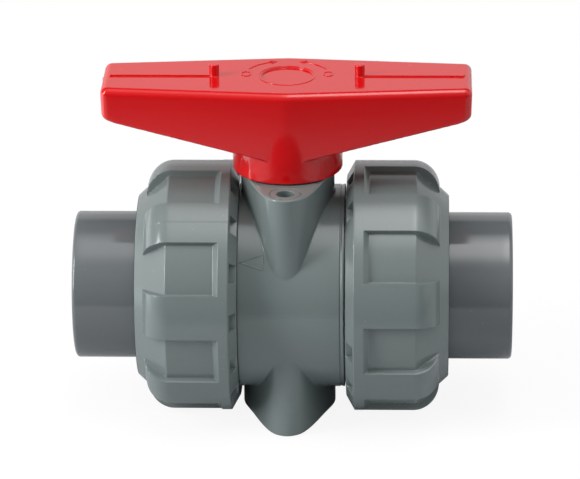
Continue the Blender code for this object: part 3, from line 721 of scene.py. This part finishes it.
def handle_distance(x, y, z):
    side_x, side_y = np.sqrt(x * x + 1.2), np.abs(y)
    lean = math.atan(ARM_TAPER)
    draft = np.maximum(HANDLE_TOP - 2 - z, 0)
    flank = side_x * math.sin(lean) + side_y * math.cos(lean)
    flank = flank - ARM_HALF_WIDTH * math.cos(lean) + 0.060 * draft
    end = np.abs(x) - ARM_REACH + 0.025 * draft
    plan = common(flank, end, 2.0)
    handle = common(plan, z - HANDLE_TOP, 1.9)
    # sloped underside, rounder at the arms' ends
    under = (ARM_UNDERSIDE + ARM_RISE * np.abs(x) - z) / math.hypot(1, ARM_RISE)
    tip = np.clip((np.abs(x) - 46.5) / 3.5, 0, 1)
    handle = common(handle, under, 0.45 + 1.0 * tip * tip * (3 - 2 * tip))
    rho = np.hypot(x, y)
    handle = join(handle, cylinder(z, rho, HUB_BOTTOM, 55.0, radius=HUB_R, edge=0.22), 0.12)
    # arms cored out from below round the middle column
    core = common(common(plan + 2.6, z - 59.2, 1.2), HUB_R - rho, 0.8)
    handle = cut(handle, core, 0.35)
    # ring space inside the skirt, less a lug on the left and on the right
    angle = np.degrees(np.arctan2(y, x)) % 180
    lug = (np.minimum(angle, 180 - angle) - 20) * np.radians(1) * rho
    lug = np.maximum(lug, 36.5 - z)
    space = common(np.abs(rho - 10.95) - 2.35, z - 46.0, 0.3)
    handle = cut(handle, cut(space, lug, 0.25), 0.25)
    # square hole for the stem
    hole = np.maximum(np.abs(x), np.abs(y)) - 4.4
    handle = cut(handle, common(hole, z - 47.2, 0.2), 0.3)
    # sunk disc in the middle of the top, pegs, and the ridges along the arms
    handle = cut(handle, common(rho - 7.0, HANDLE_TOP - 0.42 - z, 0.12), 0.14)
    off_peg = np.hypot(np.abs(x) - PEG_X, y)
    peg = cylinder(z, off_peg, 57.0, HANDLE_TOP + 3.35, radius=PEG_R, edge=0.22)
    handle = join(handle, peg, 0.15)
    rail = common(np.abs(np.abs(x) - 34.9) - 13.9, side_y - 0.8, 0.3)
    rail = common(rail, z - HANDLE_TOP - 0.43, 0.05)
    handle = join(handle, np.maximum(rail, 58.0 - z), 0.06)
    # round moulding gate on the left end
    gate = cylinder(x, np.hypot(y - 4.4, z - 58.9), -51.1, -45.0, radius=1.1, edge=0.15)
    return join(handle, gate, 0.1)


def make_handle():
    step = 0.5
    top = HANDLE_TOP
    return surface(
        "t_handle", handle_distance,
        grid_lines(-51.9, 51.6, step,
                   [(-51.3, -50.2, 0.2), (-21.6, -18.4, 0.3), (-7.4, 7.4, 0.36),
                    (18.4, 21.6, 0.3), (50.3, 51.1, 0.2)]),
        grid_lines(-17.2, 17.2, step, [(-7.4, 7.4, 0.36), (-1.2, -0.5, 0.12), (0.5, 1.2, 0.12)]),
        grid_lines(35.2, top + 4.4, step,
                   [(35.6, 36.6, 0.25), (top - 0.6, top + 1.1, 0.18), (top + 2.9, top + 3.6, 0.2)]),
    )


BEAD_SINK = 0.6  # depth of a bead's foot below the top face
BEAD_ENDS = ((0.25, 0.97), (0.6, 0.8), (0.87, 0.5))  # width, and reach in half widths


def bead(name, path, half, tall=0.20, closed=False):
    """A ridge of half-oval section that stands on the handle's top face along a path."""
    angles = [math.radians(angle) for angle in np.linspace(0, 180, 9)]
    section = [(half, -BEAD_SINK)]
    section += [(half * math.cos(angle), tall * math.sin(angle)) for angle in angles]
    section += [(-half, -BEAD_SINK)]
    path = np.array(path, dtype=float)
    count = len(path)
    tangents, normals = path_directions(path, closed)
    stations = [(i, 1.0, 0.0) for i in range(count)]  # path point, width, push along the path
    if not closed:  # rounded ends
        stations = [(0, width, -half * reach) for width, reach in BEAD_ENDS] + stations
        stations += [(count - 1, width, half * reach) for width, reach in BEAD_ENDS[::-1]]
    shape = bmesh.new()
    rings = []
    for i, width, push in stations:
        ring = []
        for aside, height in section:
            x, y = path[i] + normals[i] * aside * width + tangents[i] * push
            if height > 0:
                height = height * (0.35 + 0.65 * width)
            ring.append(shape.verts.new((x, y, HANDLE_TOP + height)))
        rings.append(ring)
    size = len(section)
    pairs = list(zip(rings, rings[1:])) + ([(rings[-1], rings[0])] if closed else [])
    for ring, after in pairs:
        for k in range(size):
            shape.faces.new([ring[k], ring[(k + 1) % size], after[(k + 1) % size], after[k]])
    if not closed:
        shape.faces.new(rings[0][::-1])
        shape.faces.new(rings[-1])
    return bmesh_object_mm(name, shape, sharp=40)


def oval(centre_x, centre_y, half_x, half_y, count):
    turns = [2 * math.pi * k / count for k in range(count)]
    return [(centre_x + half_x * math.cos(t), centre_y + half_y * math.sin(t)) for t in turns]


RING_MARK_R, ARC_MARK_R, OVAL_MARK_X = 7.75, 11.9, 11.3
BARB_LENGTH, BARB_ANGLE = 1.9, 34


def make_marks():
    """Raised marks on the top face: a plain ring, and on each side an arc with an arrowhead
    and an oval."""
    ring = oval(0, 0, RING_MARK_R, RING_MARK_R, count=96)
    made = [bead("ring_out", ring, half=0.16, tall=0.16, closed=True)]
    for side in (-1, 1):
        angles = [math.radians(angle) for angle in np.linspace(16, 62, 16)]
        arc = [(side * ARC_MARK_R * math.sin(a), ARC_MARK_R * math.cos(a)) for a in angles]
        made.append(bead("arc", arc, half=0.20))
        tip = Vector(arc[0])
        away = Vector(arc[2]) - tip
        away.normalize()
        for turn in (BARB_ANGLE, -BARB_ANGLE):
            along = Matrix.Rotation(math.radians(turn), 2) @ away
            barb = [tuple(tip + away * 0.05), tuple(tip + along * BARB_LENGTH)]
            made.append(bead("barb", barb, half=0.18))
        mark = oval(side * OVAL_MARK_X, 1.3, half_x=1.3, half_y=1.75, count=28)
        made.append(bead("mark", mark, half=0.18, closed=True))
    return merged("handle_marks", made)


# ------------------------------------------------------------------------------- inner pieces
def make_ball():
    """Ball with its bore along X and a slot in the top for the stem."""
    edge = math.asin(BORE_R / BALL_R)
    edge_x = BALL_R * math.cos(edge)
    turns = np.linspace(math.degrees(edge), 180 - math.degrees(edge), 48)
    profile = [(BALL_R * math.cos(math.radians(t)), BALL_R * math.sin(math.radians(t)))
               for t in turns]
    bore = [(-x, BORE_R) for x in np.linspace(edge_x, -edge_x, 12)][1:-1]
    ball = turned("ball_with_bore", profile + bore[::-1], steps=144)
    slot = block("slot", size_x=6.6, size_y=50, bottom=14.6, top=25.0)
    return boolean(ball, slot, "DIFFERENCE")


STEM_R, STEM_HEAD_R, STEM_GROOVE_R = 6.0, 8.6, 4.2
STEM_BOTTOM, STEM_TOP = 19.4, 35.9


def make_stem():
    """Stem with a wide head, two O-ring grooves, a tongue for the ball and a square end."""
    profile = [
        (STEM_BOTTOM, 0, 0), (STEM_BOTTOM, STEM_HEAD_R, 0.5),
        (22.9, STEM_HEAD_R, 0.4), (22.9, STEM_R, 0.25),
    ]
    for bottom, top in STEM_GROOVES:
        profile += [
            (bottom, STEM_R, 0.25), (bottom, STEM_GROOVE_R, 0.15),
            (top, STEM_GROOVE_R, 0.15), (top, STEM_R, 0.25),
        ]
    profile += [(STEM_TOP, STEM_R, 0.4), (STEM_TOP, 0, 0)]
    stem = turned_solid("stem_shaft", profile)
    tongue = block("block", size_x=6.0, size_y=13.2, bottom=14.95, top=20.4, bevel=0.4)
    stem = boolean(stem, tongue, "UNION")
    square = block("block", 2 * SQUARE, 2 * SQUARE, bottom=34.9, top=46.8, bevel=0.5)
    return boolean(stem, square, "UNION")


def make_seat(name, side):
    """Seat ring with a hollow face that follows the ball."""
    reach = BALL_R + 0.25
    face = [(math.sqrt(reach**2 - radius * radius), radius)
            for radius in np.linspace(12.7, 16.0, 12)]
    rim = face[-1][0]
    profile = face + [
        (rim, 16.8), (rim + 0.4, 17.2), (15.2, 17.2), (15.5, 16.9), (15.5, 13.0), (15.3, 12.7),
    ]
    return turned(name, resample([(side * along, radius) for along, radius in profile], 0.8))


def make_carrier():
    """Threaded ring that holds the right seat, with two small holes in its outer face."""
    x_start, x_end = (corner.x for corner in extent("seat_carrier"))
    outline = [  # x, radius
        (x_start, 17.5), (x_start, 21.3), (x_start + 0.4, 21.7), (15.4, 21.7), (15.4, 22.0),
        (16.6, 22.0), (16.6, 20.0), (18.8, 20.0), (18.8, 22.0), (19.8, 22.0), (20.3, 21.4),
        (x_end, 21.4), (x_end, 17.9), (28.9, 17.9), (28.9, 14.5), (x_end, 14.5), (x_end, 12.6),
        (17.8, 12.6), (17.8, 17.5),
    ]

    def carrier_distance(x, y, z):
        radial = np.hypot(y, z)
        ridge = thread(x, radial, np.arctan2(z, y), 21.2, 30.3, root=21.4, crest=22.45,
                       pitch=3.0, base_width=2.0, crest_width=1.0)
        ring = join(polygon(x, radial, outline), ridge, 0.15)
        hole = np.hypot(np.abs(y) - 20.0, z)
        return cut(ring, cylinder(x, hole, 27.0, x_end + 5, radius=1.7, edge=0.1), 0.15)

    step = 0.55
    along = grid_lines(x_start - 1, x_end + 1, step * 0.8)
    across = grid_lines(-23.6, 23.6 + step, step)
    return surface("seat_carrier_ring", carrier_distance, along, across, across)


def make_washer():
    corners = [(23.1, 6.4), (23.1, 8.7), (23.9, 8.7), (23.9, 6.4)]  # z, radius
    profile = rounded([(z, radius, 0.12) for z, radius in corners])
    return turned("thrust_washer", resample(profile, 3), "Z", steps=96)


def make_o_ring(name, major, minor, centre, axis, tube=24):
    turns = [2 * math.pi * k / tube for k in range(tube)]
    profile = [(minor * math.cos(turn), major + minor * math.sin(turn)) for turn in turns]
    return turned(name, profile, axis, centre=centre)


INSERT_R, INSERT_WAIST_R = 3.2, 2.8
INSERT_BORE_R, INSERT_THREAD_R, INSERT_PITCH = 2.1, 2.45, 0.8
KNURL_STEPS, KNURL_DEPTH = 72, 0.12


def make_insert(name, side):
    """Threaded insert in the foot, knurled outside."""
    bottom, top = (corner.z for corner in extent("foot_insert_front"))
    profile = [  # z, radius, rounding
        (bottom, 2.5, 0.1), (bottom, INSERT_R, 0.15), (bottom + 3.4, INSERT_R, 0.1),
        (bottom + 3.8, INSERT_WAIST_R, 0.1), (bottom + 4.8, INSERT_WAIST_R, 0.1),
        (bottom + 5.2, INSERT_R, 0.1), (top, INSERT_R, 0.4), (top, INSERT_BORE_R, 0.1),
    ]
    z = top - 0.4
    while z > bottom + 0.7:  # threaded bore
        profile += [(z, INSERT_BORE_R, 0), (z - INSERT_PITCH / 2, INSERT_THREAD_R, 0)]
        z -= INSERT_PITCH
    profile += [(bottom + 0.3, INSERT_BORE_R, 0)]
    place = (0, side * BOLT_Y, 0)
    obj = turned(name, rounded(profile), "Z", KNURL_STEPS, centre=place)
    # every other column of the outside is drawn in
    centre = Vector(place) * UNIT + CENTRE
    for vert in obj.data.vertices:
        off = Vector((vert.co.x - centre.x, vert.co.y - centre.y))
        if off.length > 2.95 * UNIT:
            column_number = round(math.atan2(off.y, off.x) / (2 * math.pi) * KNURL_STEPS)
            if column_number % 2:
                scale = 1 - KNURL_DEPTH * UNIT / off.length
                vert.co.x, vert.co.y = centre.x + off.x * scale, centre.y + off.y * scale
    obj.data.set_sharp_from_angle(angle=math.radians(35))
    return obj


# ------------------------------------------------------------------------------- materials
class Graph:
    """Builds shader nodes. An input's value may be a number, a tuple or another node's output."""

    def __init__(self, tree):
        self.tree = tree

    def fill(self, node, inputs):
        for key, value in inputs.items():
            if isinstance(value, bpy.types.NodeSocket):
                self.tree.links.new(value, node.inputs[key])
            else:
                node.inputs[key].default_value = value

    def node(self, kind, inputs=None, **settings):
        node = self.tree.nodes.new(kind)
        for key, value in settings.items():
            setattr(node, key, value)
        self.fill(node, inputs or {})
        return node

    def math(self, operation, *values):
        node = self.node("ShaderNodeMath", dict(enumerate(values)), operation=operation)
        return node.outputs[0]

    def remap(self, value, source, target, **settings):
        """Maps the source range (from, to) onto the target range."""
        inputs = {"From Min": source[0], "From Max": source[1],
                  "To Min": target[0], "To Max": target[1], "Value": value}
        return self.node("ShaderNodeMapRange", inputs, **settings).outputs["Result"]

    def smooth_step(self, value, source, target):
        return self.remap(value, source, target, interpolation_type="SMOOTHSTEP")


class Material(Graph):
    """A material on the Principled shader, with textures in object space."""

    def __init__(self, name):
        self.material = bpy.data.materials.new(name)
        self.material.use_nodes = True
        super().__init__(self.material.node_tree)
        self.coords = self.node("ShaderNodeTexCoord").outputs["Object"]

    def noise(self, scale, detail=2.0, rough=0.5):
        inputs = {"Scale": scale, "Detail": detail, "Roughness": rough, "Vector": self.coords}
        return self.node("ShaderNodeTexNoise", inputs).outputs["Fac"]

    def wave(self, scale, distortion, **settings):
        inputs = {"Scale": scale, "Distortion": distortion, "Vector": self.coords}
        return self.node("ShaderNodeTexWave", inputs, **settings).outputs["Fac"]

    def mix(self, share, start, end):
        inputs = {0: share, 6: start, 7: end}
        return self.node("ShaderNodeMix", inputs, data_type="RGBA").outputs[2]

    def bump(self, height, strength, distance):
        inputs = {"Strength": strength, "Distance": distance, "Height": height}
        return self.node("ShaderNodeBump", inputs).outputs["Normal"]

    def finish(self, colour, roughness, normal, **others):
        inputs = {"Base Color": colour, "Roughness": roughness, "Normal": normal, **others}
        self.fill(self.tree.nodes["Principled BSDF"], inputs)
        return self.material


def shade(rgb, factor):
    return (*(min(1, channel * factor) for channel in rgb), 1.0)


def srgb(*channels):
    """Linear colour from 0-255 sRGB channels."""
    return tuple(
        ((c / 255 + 0.055) / 1.055) ** 2.4 if c / 255 > 0.04045 else c / 255 / 12.92
        for c in channels
    )


def plastic(name, rgb, rough, mottle=0.03, peel=0.05, edge=0.06):
    """Injection-moulded plastic: faint flow mottling, a few pale specks, a fine peel, and
    paler convex edges, which are a painted edge highlight; edge sets its strength."""
    mat = Material(name)
    flow = mat.remap(mat.noise(scale=22, detail=3), source=(0.3, 0.7), target=(0, 1))
    colour = mat.mix(flow, shade(rgb, 1 - mottle), shade(rgb, 1 + mottle))
    grain = mat.remap(mat.noise(scale=700), source=(0.35, 0.65), target=(0, 0.35))
    colour = mat.mix(grain, colour, shade(rgb, 1 - 1.6 * mottle))
    specks = mat.remap(mat.noise(scale=620, detail=0), source=(0.855, 0.885), target=(0, 0.18))
    colour = mat.mix(specks, colour, shade(tuple(0.6 * c + 0.22 for c in rgb), 1.0))
    # convex edges, found by pointiness, are painted paler: a painted edge highlight
    pointiness = mat.node("ShaderNodeNewGeometry").outputs["Pointiness"]
    painted_edge_highlight = mat.remap(pointiness, source=(0.53, 0.66), target=(0, edge))
    colour = mat.mix(painted_edge_highlight, colour, shade(tuple(0.75 * c + 0.10 for c in rgb), 1.0))
    scuffs = mat.noise(scale=60, detail=3, rough=0.6)
    return mat.finish(
        colour,
        roughness=mat.remap(scuffs, source=(0.3, 0.75), target=(rough * 0.93, rough * 1.12)),
        normal=mat.bump(mat.noise(scale=900), strength=peel, distance=0.00002),
        IOR=1.5,
    )


def ptfe():
    """White PTFE with fine turning rings."""
    mat = Material("ptfe")
    rgb = srgb(232, 231, 224)
    rings = mat.wave(scale=900, distortion=0.4, wave_type="RINGS", rings_direction="X")
    cloud = mat.remap(mat.noise(scale=60, detail=3), source=(0.3, 0.7), target=(0, 1))
    polish = mat.noise(scale=200, detail=3)
    return mat.finish(
        mat.mix(cloud, shade(rgb, 0.95), shade(rgb, 1.02)),
        roughness=mat.remap(polish, source=(0.3, 0.7), target=(0.38, 0.52)),
        normal=mat.bump(rings, strength=0.10, distance=0.00004),
        IOR=1.38,
    )


def rubber():
    """Black rubber with a grey bloom."""
    mat = Material("epdm_rubber")
    cloud = mat.noise(scale=140, detail=4, rough=0.6)
    bloom = mat.remap(cloud, source=(0.45, 0.75), target=(0, 0.5))
    polish = mat.noise(scale=300, detail=3)
    grain = mat.noise(scale=1400, detail=3, rough=0.6)
    return mat.finish(
        mat.mix(bloom, shade(srgb(34, 34, 35), 1.0), shade(srgb(66, 66, 66), 1.0)),
        roughness=mat.remap(polish, source=(0.3, 0.7), target=(0.5, 0.68)),
        normal=mat.bump(grain, strength=0.3, distance=0.00003),
        IOR=1.48,
    )


def brass():
    """Brass with fine turning lines."""
    mat = Material("turned_brass")
    lines = mat.wave(scale=1500, distortion=1.0, wave_type="BANDS", bands_direction="Z")
    tone = mat.remap(mat.noise(scale=220, detail=3), source=(0.3, 0.7), target=(0, 1))
    return mat.finish(
        mat.mix(tone, (0.66, 0.45, 0.16, 1), (0.80, 0.60, 0.26, 1)),
        roughness=mat.remap(mat.noise(scale=500), source=(0.3, 0.7), target=(0.22, 0.36)),
        normal=mat.bump(lines, strength=0.15, distance=0.00003),
        Metallic=1.0,
    )


MATERIALS = {  # by slot
    "housing_pvc": plastic("housing_pvc", srgb(108, 119, 118), rough=0.20),
    "nut_pvc": plastic("nut_pvc", srgb(108, 118, 117), rough=0.20),
    "connector_pvc": plastic("connector_pvc", srgb(97, 102, 104), rough=0.13, mottle=0.02),
    "handle_red": plastic("handle_red", srgb(203, 14, 19), rough=0.10, mottle=0.015, peel=0.04,
                          edge=0.03),
    "ptfe": ptfe(),
    "epdm": rubber(),
    "insert_brass": brass(),
}


# ------------------------------------------------------------------------------- the pieces
def dress(obj, slot, body, node=None):
    """Gives a piece its material, the body it rides on and the CAD node it replaces."""
    obj.data.materials.clear()
    obj.data.materials.append(MATERIALS[slot])
    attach(obj, body)
    if node:
        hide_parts(node)


dress(make_housing(), "housing_pvc", "housing", "body")
dress(make_arrow(), "housing_pvc", "housing")
dress(
    make_nut("union_nut_l", -13.4, side=-1, first_rib=6.8, pocket_top=56.06, seam=0.05),
    "nut_pvc", "left_nut", "union_nut_left",
)
dress(
    make_nut("union_nut_r", 16.3, side=1, first_rib=12.9, pocket_top=64.56, seam=0.0,
             missing=(40.56, 16.56)),
    "nut_pvc", "right_nut", "union_nut_right",
)
left_face = extent("end_connector_left")[1].x
right_face = extent("end_connector_right")[0].x
dress(make_connector("socket_end_l", left_face, side=-1),
      "connector_pvc", "left_end", "end_connector_left")
dress(make_connector("socket_end_r", right_face, side=1),
      "connector_pvc", "right_end", "end_connector_right")
dress(make_handle(), "handle_red", "handle", "handle")
dress(make_marks(), "handle_red", "handle")
dress(make_ball(), "connector_pvc", "stem", "ball")
dress(make_stem(), "housing_pvc", "stem", "stem")
dress(make_seat("seat_ring_l", side=-1), "ptfe", "housing", "seat_left")
dress(make_seat("seat_ring_r", side=1), "ptfe", "housing", "seat_right")
dress(make_carrier(), "housing_pvc", "housing", "seat_carrier")
dress(make_washer(), "ptfe", "housing", "stem_thrust_washer")
dress(make_insert("foot_insert_f", side=-1), "insert_brass", "housing", "foot_insert_front")
dress(make_insert("foot_insert_r", side=1), "insert_brass", "housing", "foot_insert_rear")

LOW_SEAL_Z, HIGH_SEAL_Z = ((bottom + top) / 2 for bottom, top in STEM_GROOVES)
# name, CAD node, ring radius, cord radius, centre, axis, body
O_RINGS = (
    ("backing_ring_l", "seat_backing_oring_left", 15.0, 0.95, (-16.65, 0, 0), "X", "housing"),
    ("backing_ring_r", "seat_backing_oring_right", 15.0, 0.95, (16.65, 0, 0), "X", "housing"),
    ("carrier_seal", "carrier_oring", 21.15, 0.95, (17.7, 0, 0), "X", "housing"),
    ("face_seal_l", "face_oring_left", 16.2, 1.4, (HOUSING_X0 + 1.3, 0, 0), "X", "housing"),
    ("face_seal_r", "face_oring_right", 16.2, 1.4, (30.4, 0, 0), "X", "housing"),
    ("stem_seal_low", "stem_oring_lower", 5.2, 0.85, (0, 0, LOW_SEAL_Z), "Z", "stem"),
    ("stem_seal_up", "stem_oring_upper", 5.2, 0.85, (0, 0, HIGH_SEAL_Z), "Z", "stem"),
)
for name, node, major, minor, centre, axis, body in O_RINGS:
    dress(make_o_ring(name, major, minor, centre, axis), "epdm", body, node)


# ------------------------------------------------------------------------------- studio
# Sky brightness against the angle round the pipe in degrees: 0 is the front horizon,
# 90 straight up, 180 the back horizon.
SKY = [
    (-180, 0.5), (-150, 0.3), (-60, 0.2), (-5, 0.12), (24, 0.20), (34, 0.42), (50, 0.52),
    (106, 0.34), (113, 0.08), (142, 0.08), (148, 0.74), (180, 0.85),
]
# An overhead panel adds to it, by the same angle and by the ray's x. It is brightest just
# right of the middle.
PANEL = [(48, 0.0), (56, 0.12), (63, 0.45), (72, 0.9), (90, 1.0), (101, 0.55), (112, 0.0)]
PANEL_X = [
    (-0.60, 0.4), (-0.20, 0.75), (-0.08, 2.1), (0.0, 3.5), (0.05, 6.4), (0.14, 6.4),
    (0.24, 2.4), (0.45, 1.4), (0.7, 1.0),
]
SIDES = (0.35, 1.1)  # brightness far out to the left and to the right


def table(graph, value, stops, low, high):
    """Piecewise linear curve through the stops, for a value between low and high."""
    peak = max(level for _, level in stops)
    node = graph.node("ShaderNodeValToRGB")
    node.color_ramp.interpolation = "LINEAR"
    marks = node.color_ramp.elements
    while len(marks) < len(stops):
        marks.new(0.5)
    for mark, (at, level) in zip(marks, stops):
        mark.position = (at - low) / (high - low)
        mark.color = (level / peak, level / peak, level / peak, 1)
    share = graph.math("DIVIDE", graph.math("SUBTRACT", value, low), high - low)
    graph.fill(node, {0: share})
    return graph.math("MULTIPLY", node.outputs[0], peak)


def make_world():
    """The camera sees plain white. Other rays see the sky, the panel and the sides."""
    world = bpy.data.worlds.new("studio")
    bpy.context.scene.world = world
    world.use_nodes = True
    world.node_tree.nodes.clear()
    graph = Graph(world.node_tree)
    coords = graph.node("ShaderNodeTexCoord").outputs["Generated"]
    x, y, z = graph.node("ShaderNodeSeparateXYZ", {0: coords}).outputs
    turn = graph.math("ARCTAN2", z, graph.math("MULTIPLY", y, -1.0))
    turn = graph.math("MULTIPLY", turn, 180 / math.pi)
    panel = graph.math("MULTIPLY", table(graph, turn, PANEL, -180, 180),
                       table(graph, x, PANEL_X, -1, 1))
    sky = graph.math("ADD", table(graph, turn, SKY, -180, 180), panel)
    sideways = graph.smooth_step(graph.math("ABSOLUTE", x), source=(0.62, 0.93), target=(0, 1))
    side = graph.smooth_step(x, source=(-0.3, 0.3), target=SIDES)
    middle = graph.math("MULTIPLY", sky, graph.math("SUBTRACT", 1.0, sideways))
    strength = graph.math("ADD", middle, graph.math("MULTIPLY", side, sideways))
    to_camera = graph.node("ShaderNodeLightPath").outputs["Is Camera Ray"]
    seen = graph.node("ShaderNodeMix", {0: to_camera, 2: strength, 3: 1.0}, data_type="FLOAT")
    back = graph.node("ShaderNodeBackground",
                      {"Color": (1, 1, 1, 1), "Strength": seen.outputs[0]})
    graph.node("ShaderNodeOutputWorld", {"Surface": back.outputs[0]})


def floor_material():
    """Near white to the camera. To other rays it is a grey sheet, and dark past the sheet's
    front edge."""
    mat = bpy.data.materials.new("pale_floor")
    mat.use_nodes = True
    mat.node_tree.nodes.clear()
    graph = Graph(mat.node_tree)
    position = graph.node("ShaderNodeNewGeometry").outputs["Position"]
    y = graph.node("ShaderNodeSeparateXYZ", {0: position}).outputs["Y"]
    grey = graph.smooth_step(y, source=(-0.20, -0.155), target=(0.07, 0.57))
    cool = (0.985, 1.0, 1.03)
    tint = graph.node("ShaderNodeVectorMath", {0: grey, 1: cool}, operation="MULTIPLY")
    bounce = graph.node("ShaderNodeBsdfDiffuse", {"Color": tint.outputs[0]})
    lit = graph.node("ShaderNodeBsdfDiffuse", {"Color": (0.9, 0.9, 0.9, 1)})
    glow = graph.node("ShaderNodeEmission", {"Strength": 1.0})
    glow_share = 0.90
    pale = graph.node("ShaderNodeMixShader",
                      {0: glow_share, 1: lit.outputs[0], 2: glow.outputs[0]})
    to_camera = graph.node("ShaderNodeLightPath").outputs["Is Camera Ray"]
    both = graph.node("ShaderNodeMixShader",
                      {0: to_camera, 1: bounce.outputs[0], 2: pale.outputs[0]})
    graph.node("ShaderNodeOutputMaterial", {"Surface": both.outputs[0]})
    return mat


def make_floor():
    bpy.ops.mesh.primitive_plane_add(size=3.0, location=(0, 0, -0.0002))
    floor = bpy.context.object
    floor.name = "floor"
    floor.data.materials.append(floor_material())


def soft_box(name, place, size, target, radiance):
    """An area light that shows the given radiance."""
    light = bpy.data.lights.new(name, "AREA")
    light.shape, light.size, light.size_y = "RECTANGLE", size[0], size[1]
    light.energy = radiance * size[0] * size[1] * math.pi
    light.color = (1, 1, 1)
    obj = link_object(name, light)
    obj.location = place
    obj.rotation_mode = "QUATERNION"
    obj.rotation_quaternion = (Vector(place) - Vector(target)).to_track_quat("Z", "Y")
    return obj


def make_lights():
    around, height = math.radians(-67), math.radians(25)  # from the front towards +X, and up
    direction = Vector((
        math.sin(around) * math.cos(height), -math.cos(around) * math.cos(height), math.sin(height),
    ))
    soft_box("key_left", place=direction * 0.95 + CENTRE, size=(0.24, 0.72), target=CENTRE,
             radiance=15.5)
    fill = soft_box("fill_front", place=(-0.08, -1.1, 0.40), size=(0.6, 0.3), target=CENTRE,
                    radiance=0.7)
    fill.visible_glossy = False
    # stands near the floor to the left, as a white card would
    soft_box("card_left", place=(-0.19, 0.03, 0.055), size=(0.16, 0.10),
             target=(0.0, 0.0, 0.055), radiance=1.4)


CAMERA_PITCH, CAMERA_YAW, CAMERA_ROLL = 22.659, 2.003, -0.526  # degrees
CAMERA_DISTANCE = 1.128362
AIM_UP, AIM_RIGHT = 0.0126261316, 0.0003045144  # aim point off the ball's centre
SENSOR_WIDTH, LENS = 36, 249.77269  # mm


def make_camera():
    pitch, yaw, roll = (math.radians(a) for a in (CAMERA_PITCH, CAMERA_YAW, CAMERA_ROLL))
    level = Vector((math.cos(yaw), math.sin(yaw), 0))
    back = Vector((
        math.sin(yaw) * math.cos(pitch), -math.cos(yaw) * math.cos(pitch), math.sin(pitch),
    ))
    upright = back.cross(level)
    right = level * math.cos(roll) + upright * math.sin(roll)
    up = upright * math.cos(roll) - level * math.sin(roll)
    place = CENTRE + back * CAMERA_DISTANCE
    aim = CENTRE + up * AIM_UP + right * AIM_RIGHT
    z = (place - aim).normalized()
    x = up.cross(z).normalized()
    y = z.cross(x)
    data = bpy.data.cameras.new("camera")
    data.lens, data.sensor_width = LENS, SENSOR_WIDTH
    data.clip_start, data.clip_end = 0.05, 20
    obj = bpy.data.objects.new("camera", data)
    obj.rotation_mode = "QUATERNION"
    obj.rotation_quaternion = Matrix((x, y, z)).transposed().to_quaternion()
    obj.location = place
    bpy.context.scene.collection.objects.link(obj)
    bpy.context.scene.camera = obj


make_world()
make_floor()
make_lights()
make_camera()
view = bpy.context.scene.view_settings
view.view_transform = "Standard"
view.look = "None"
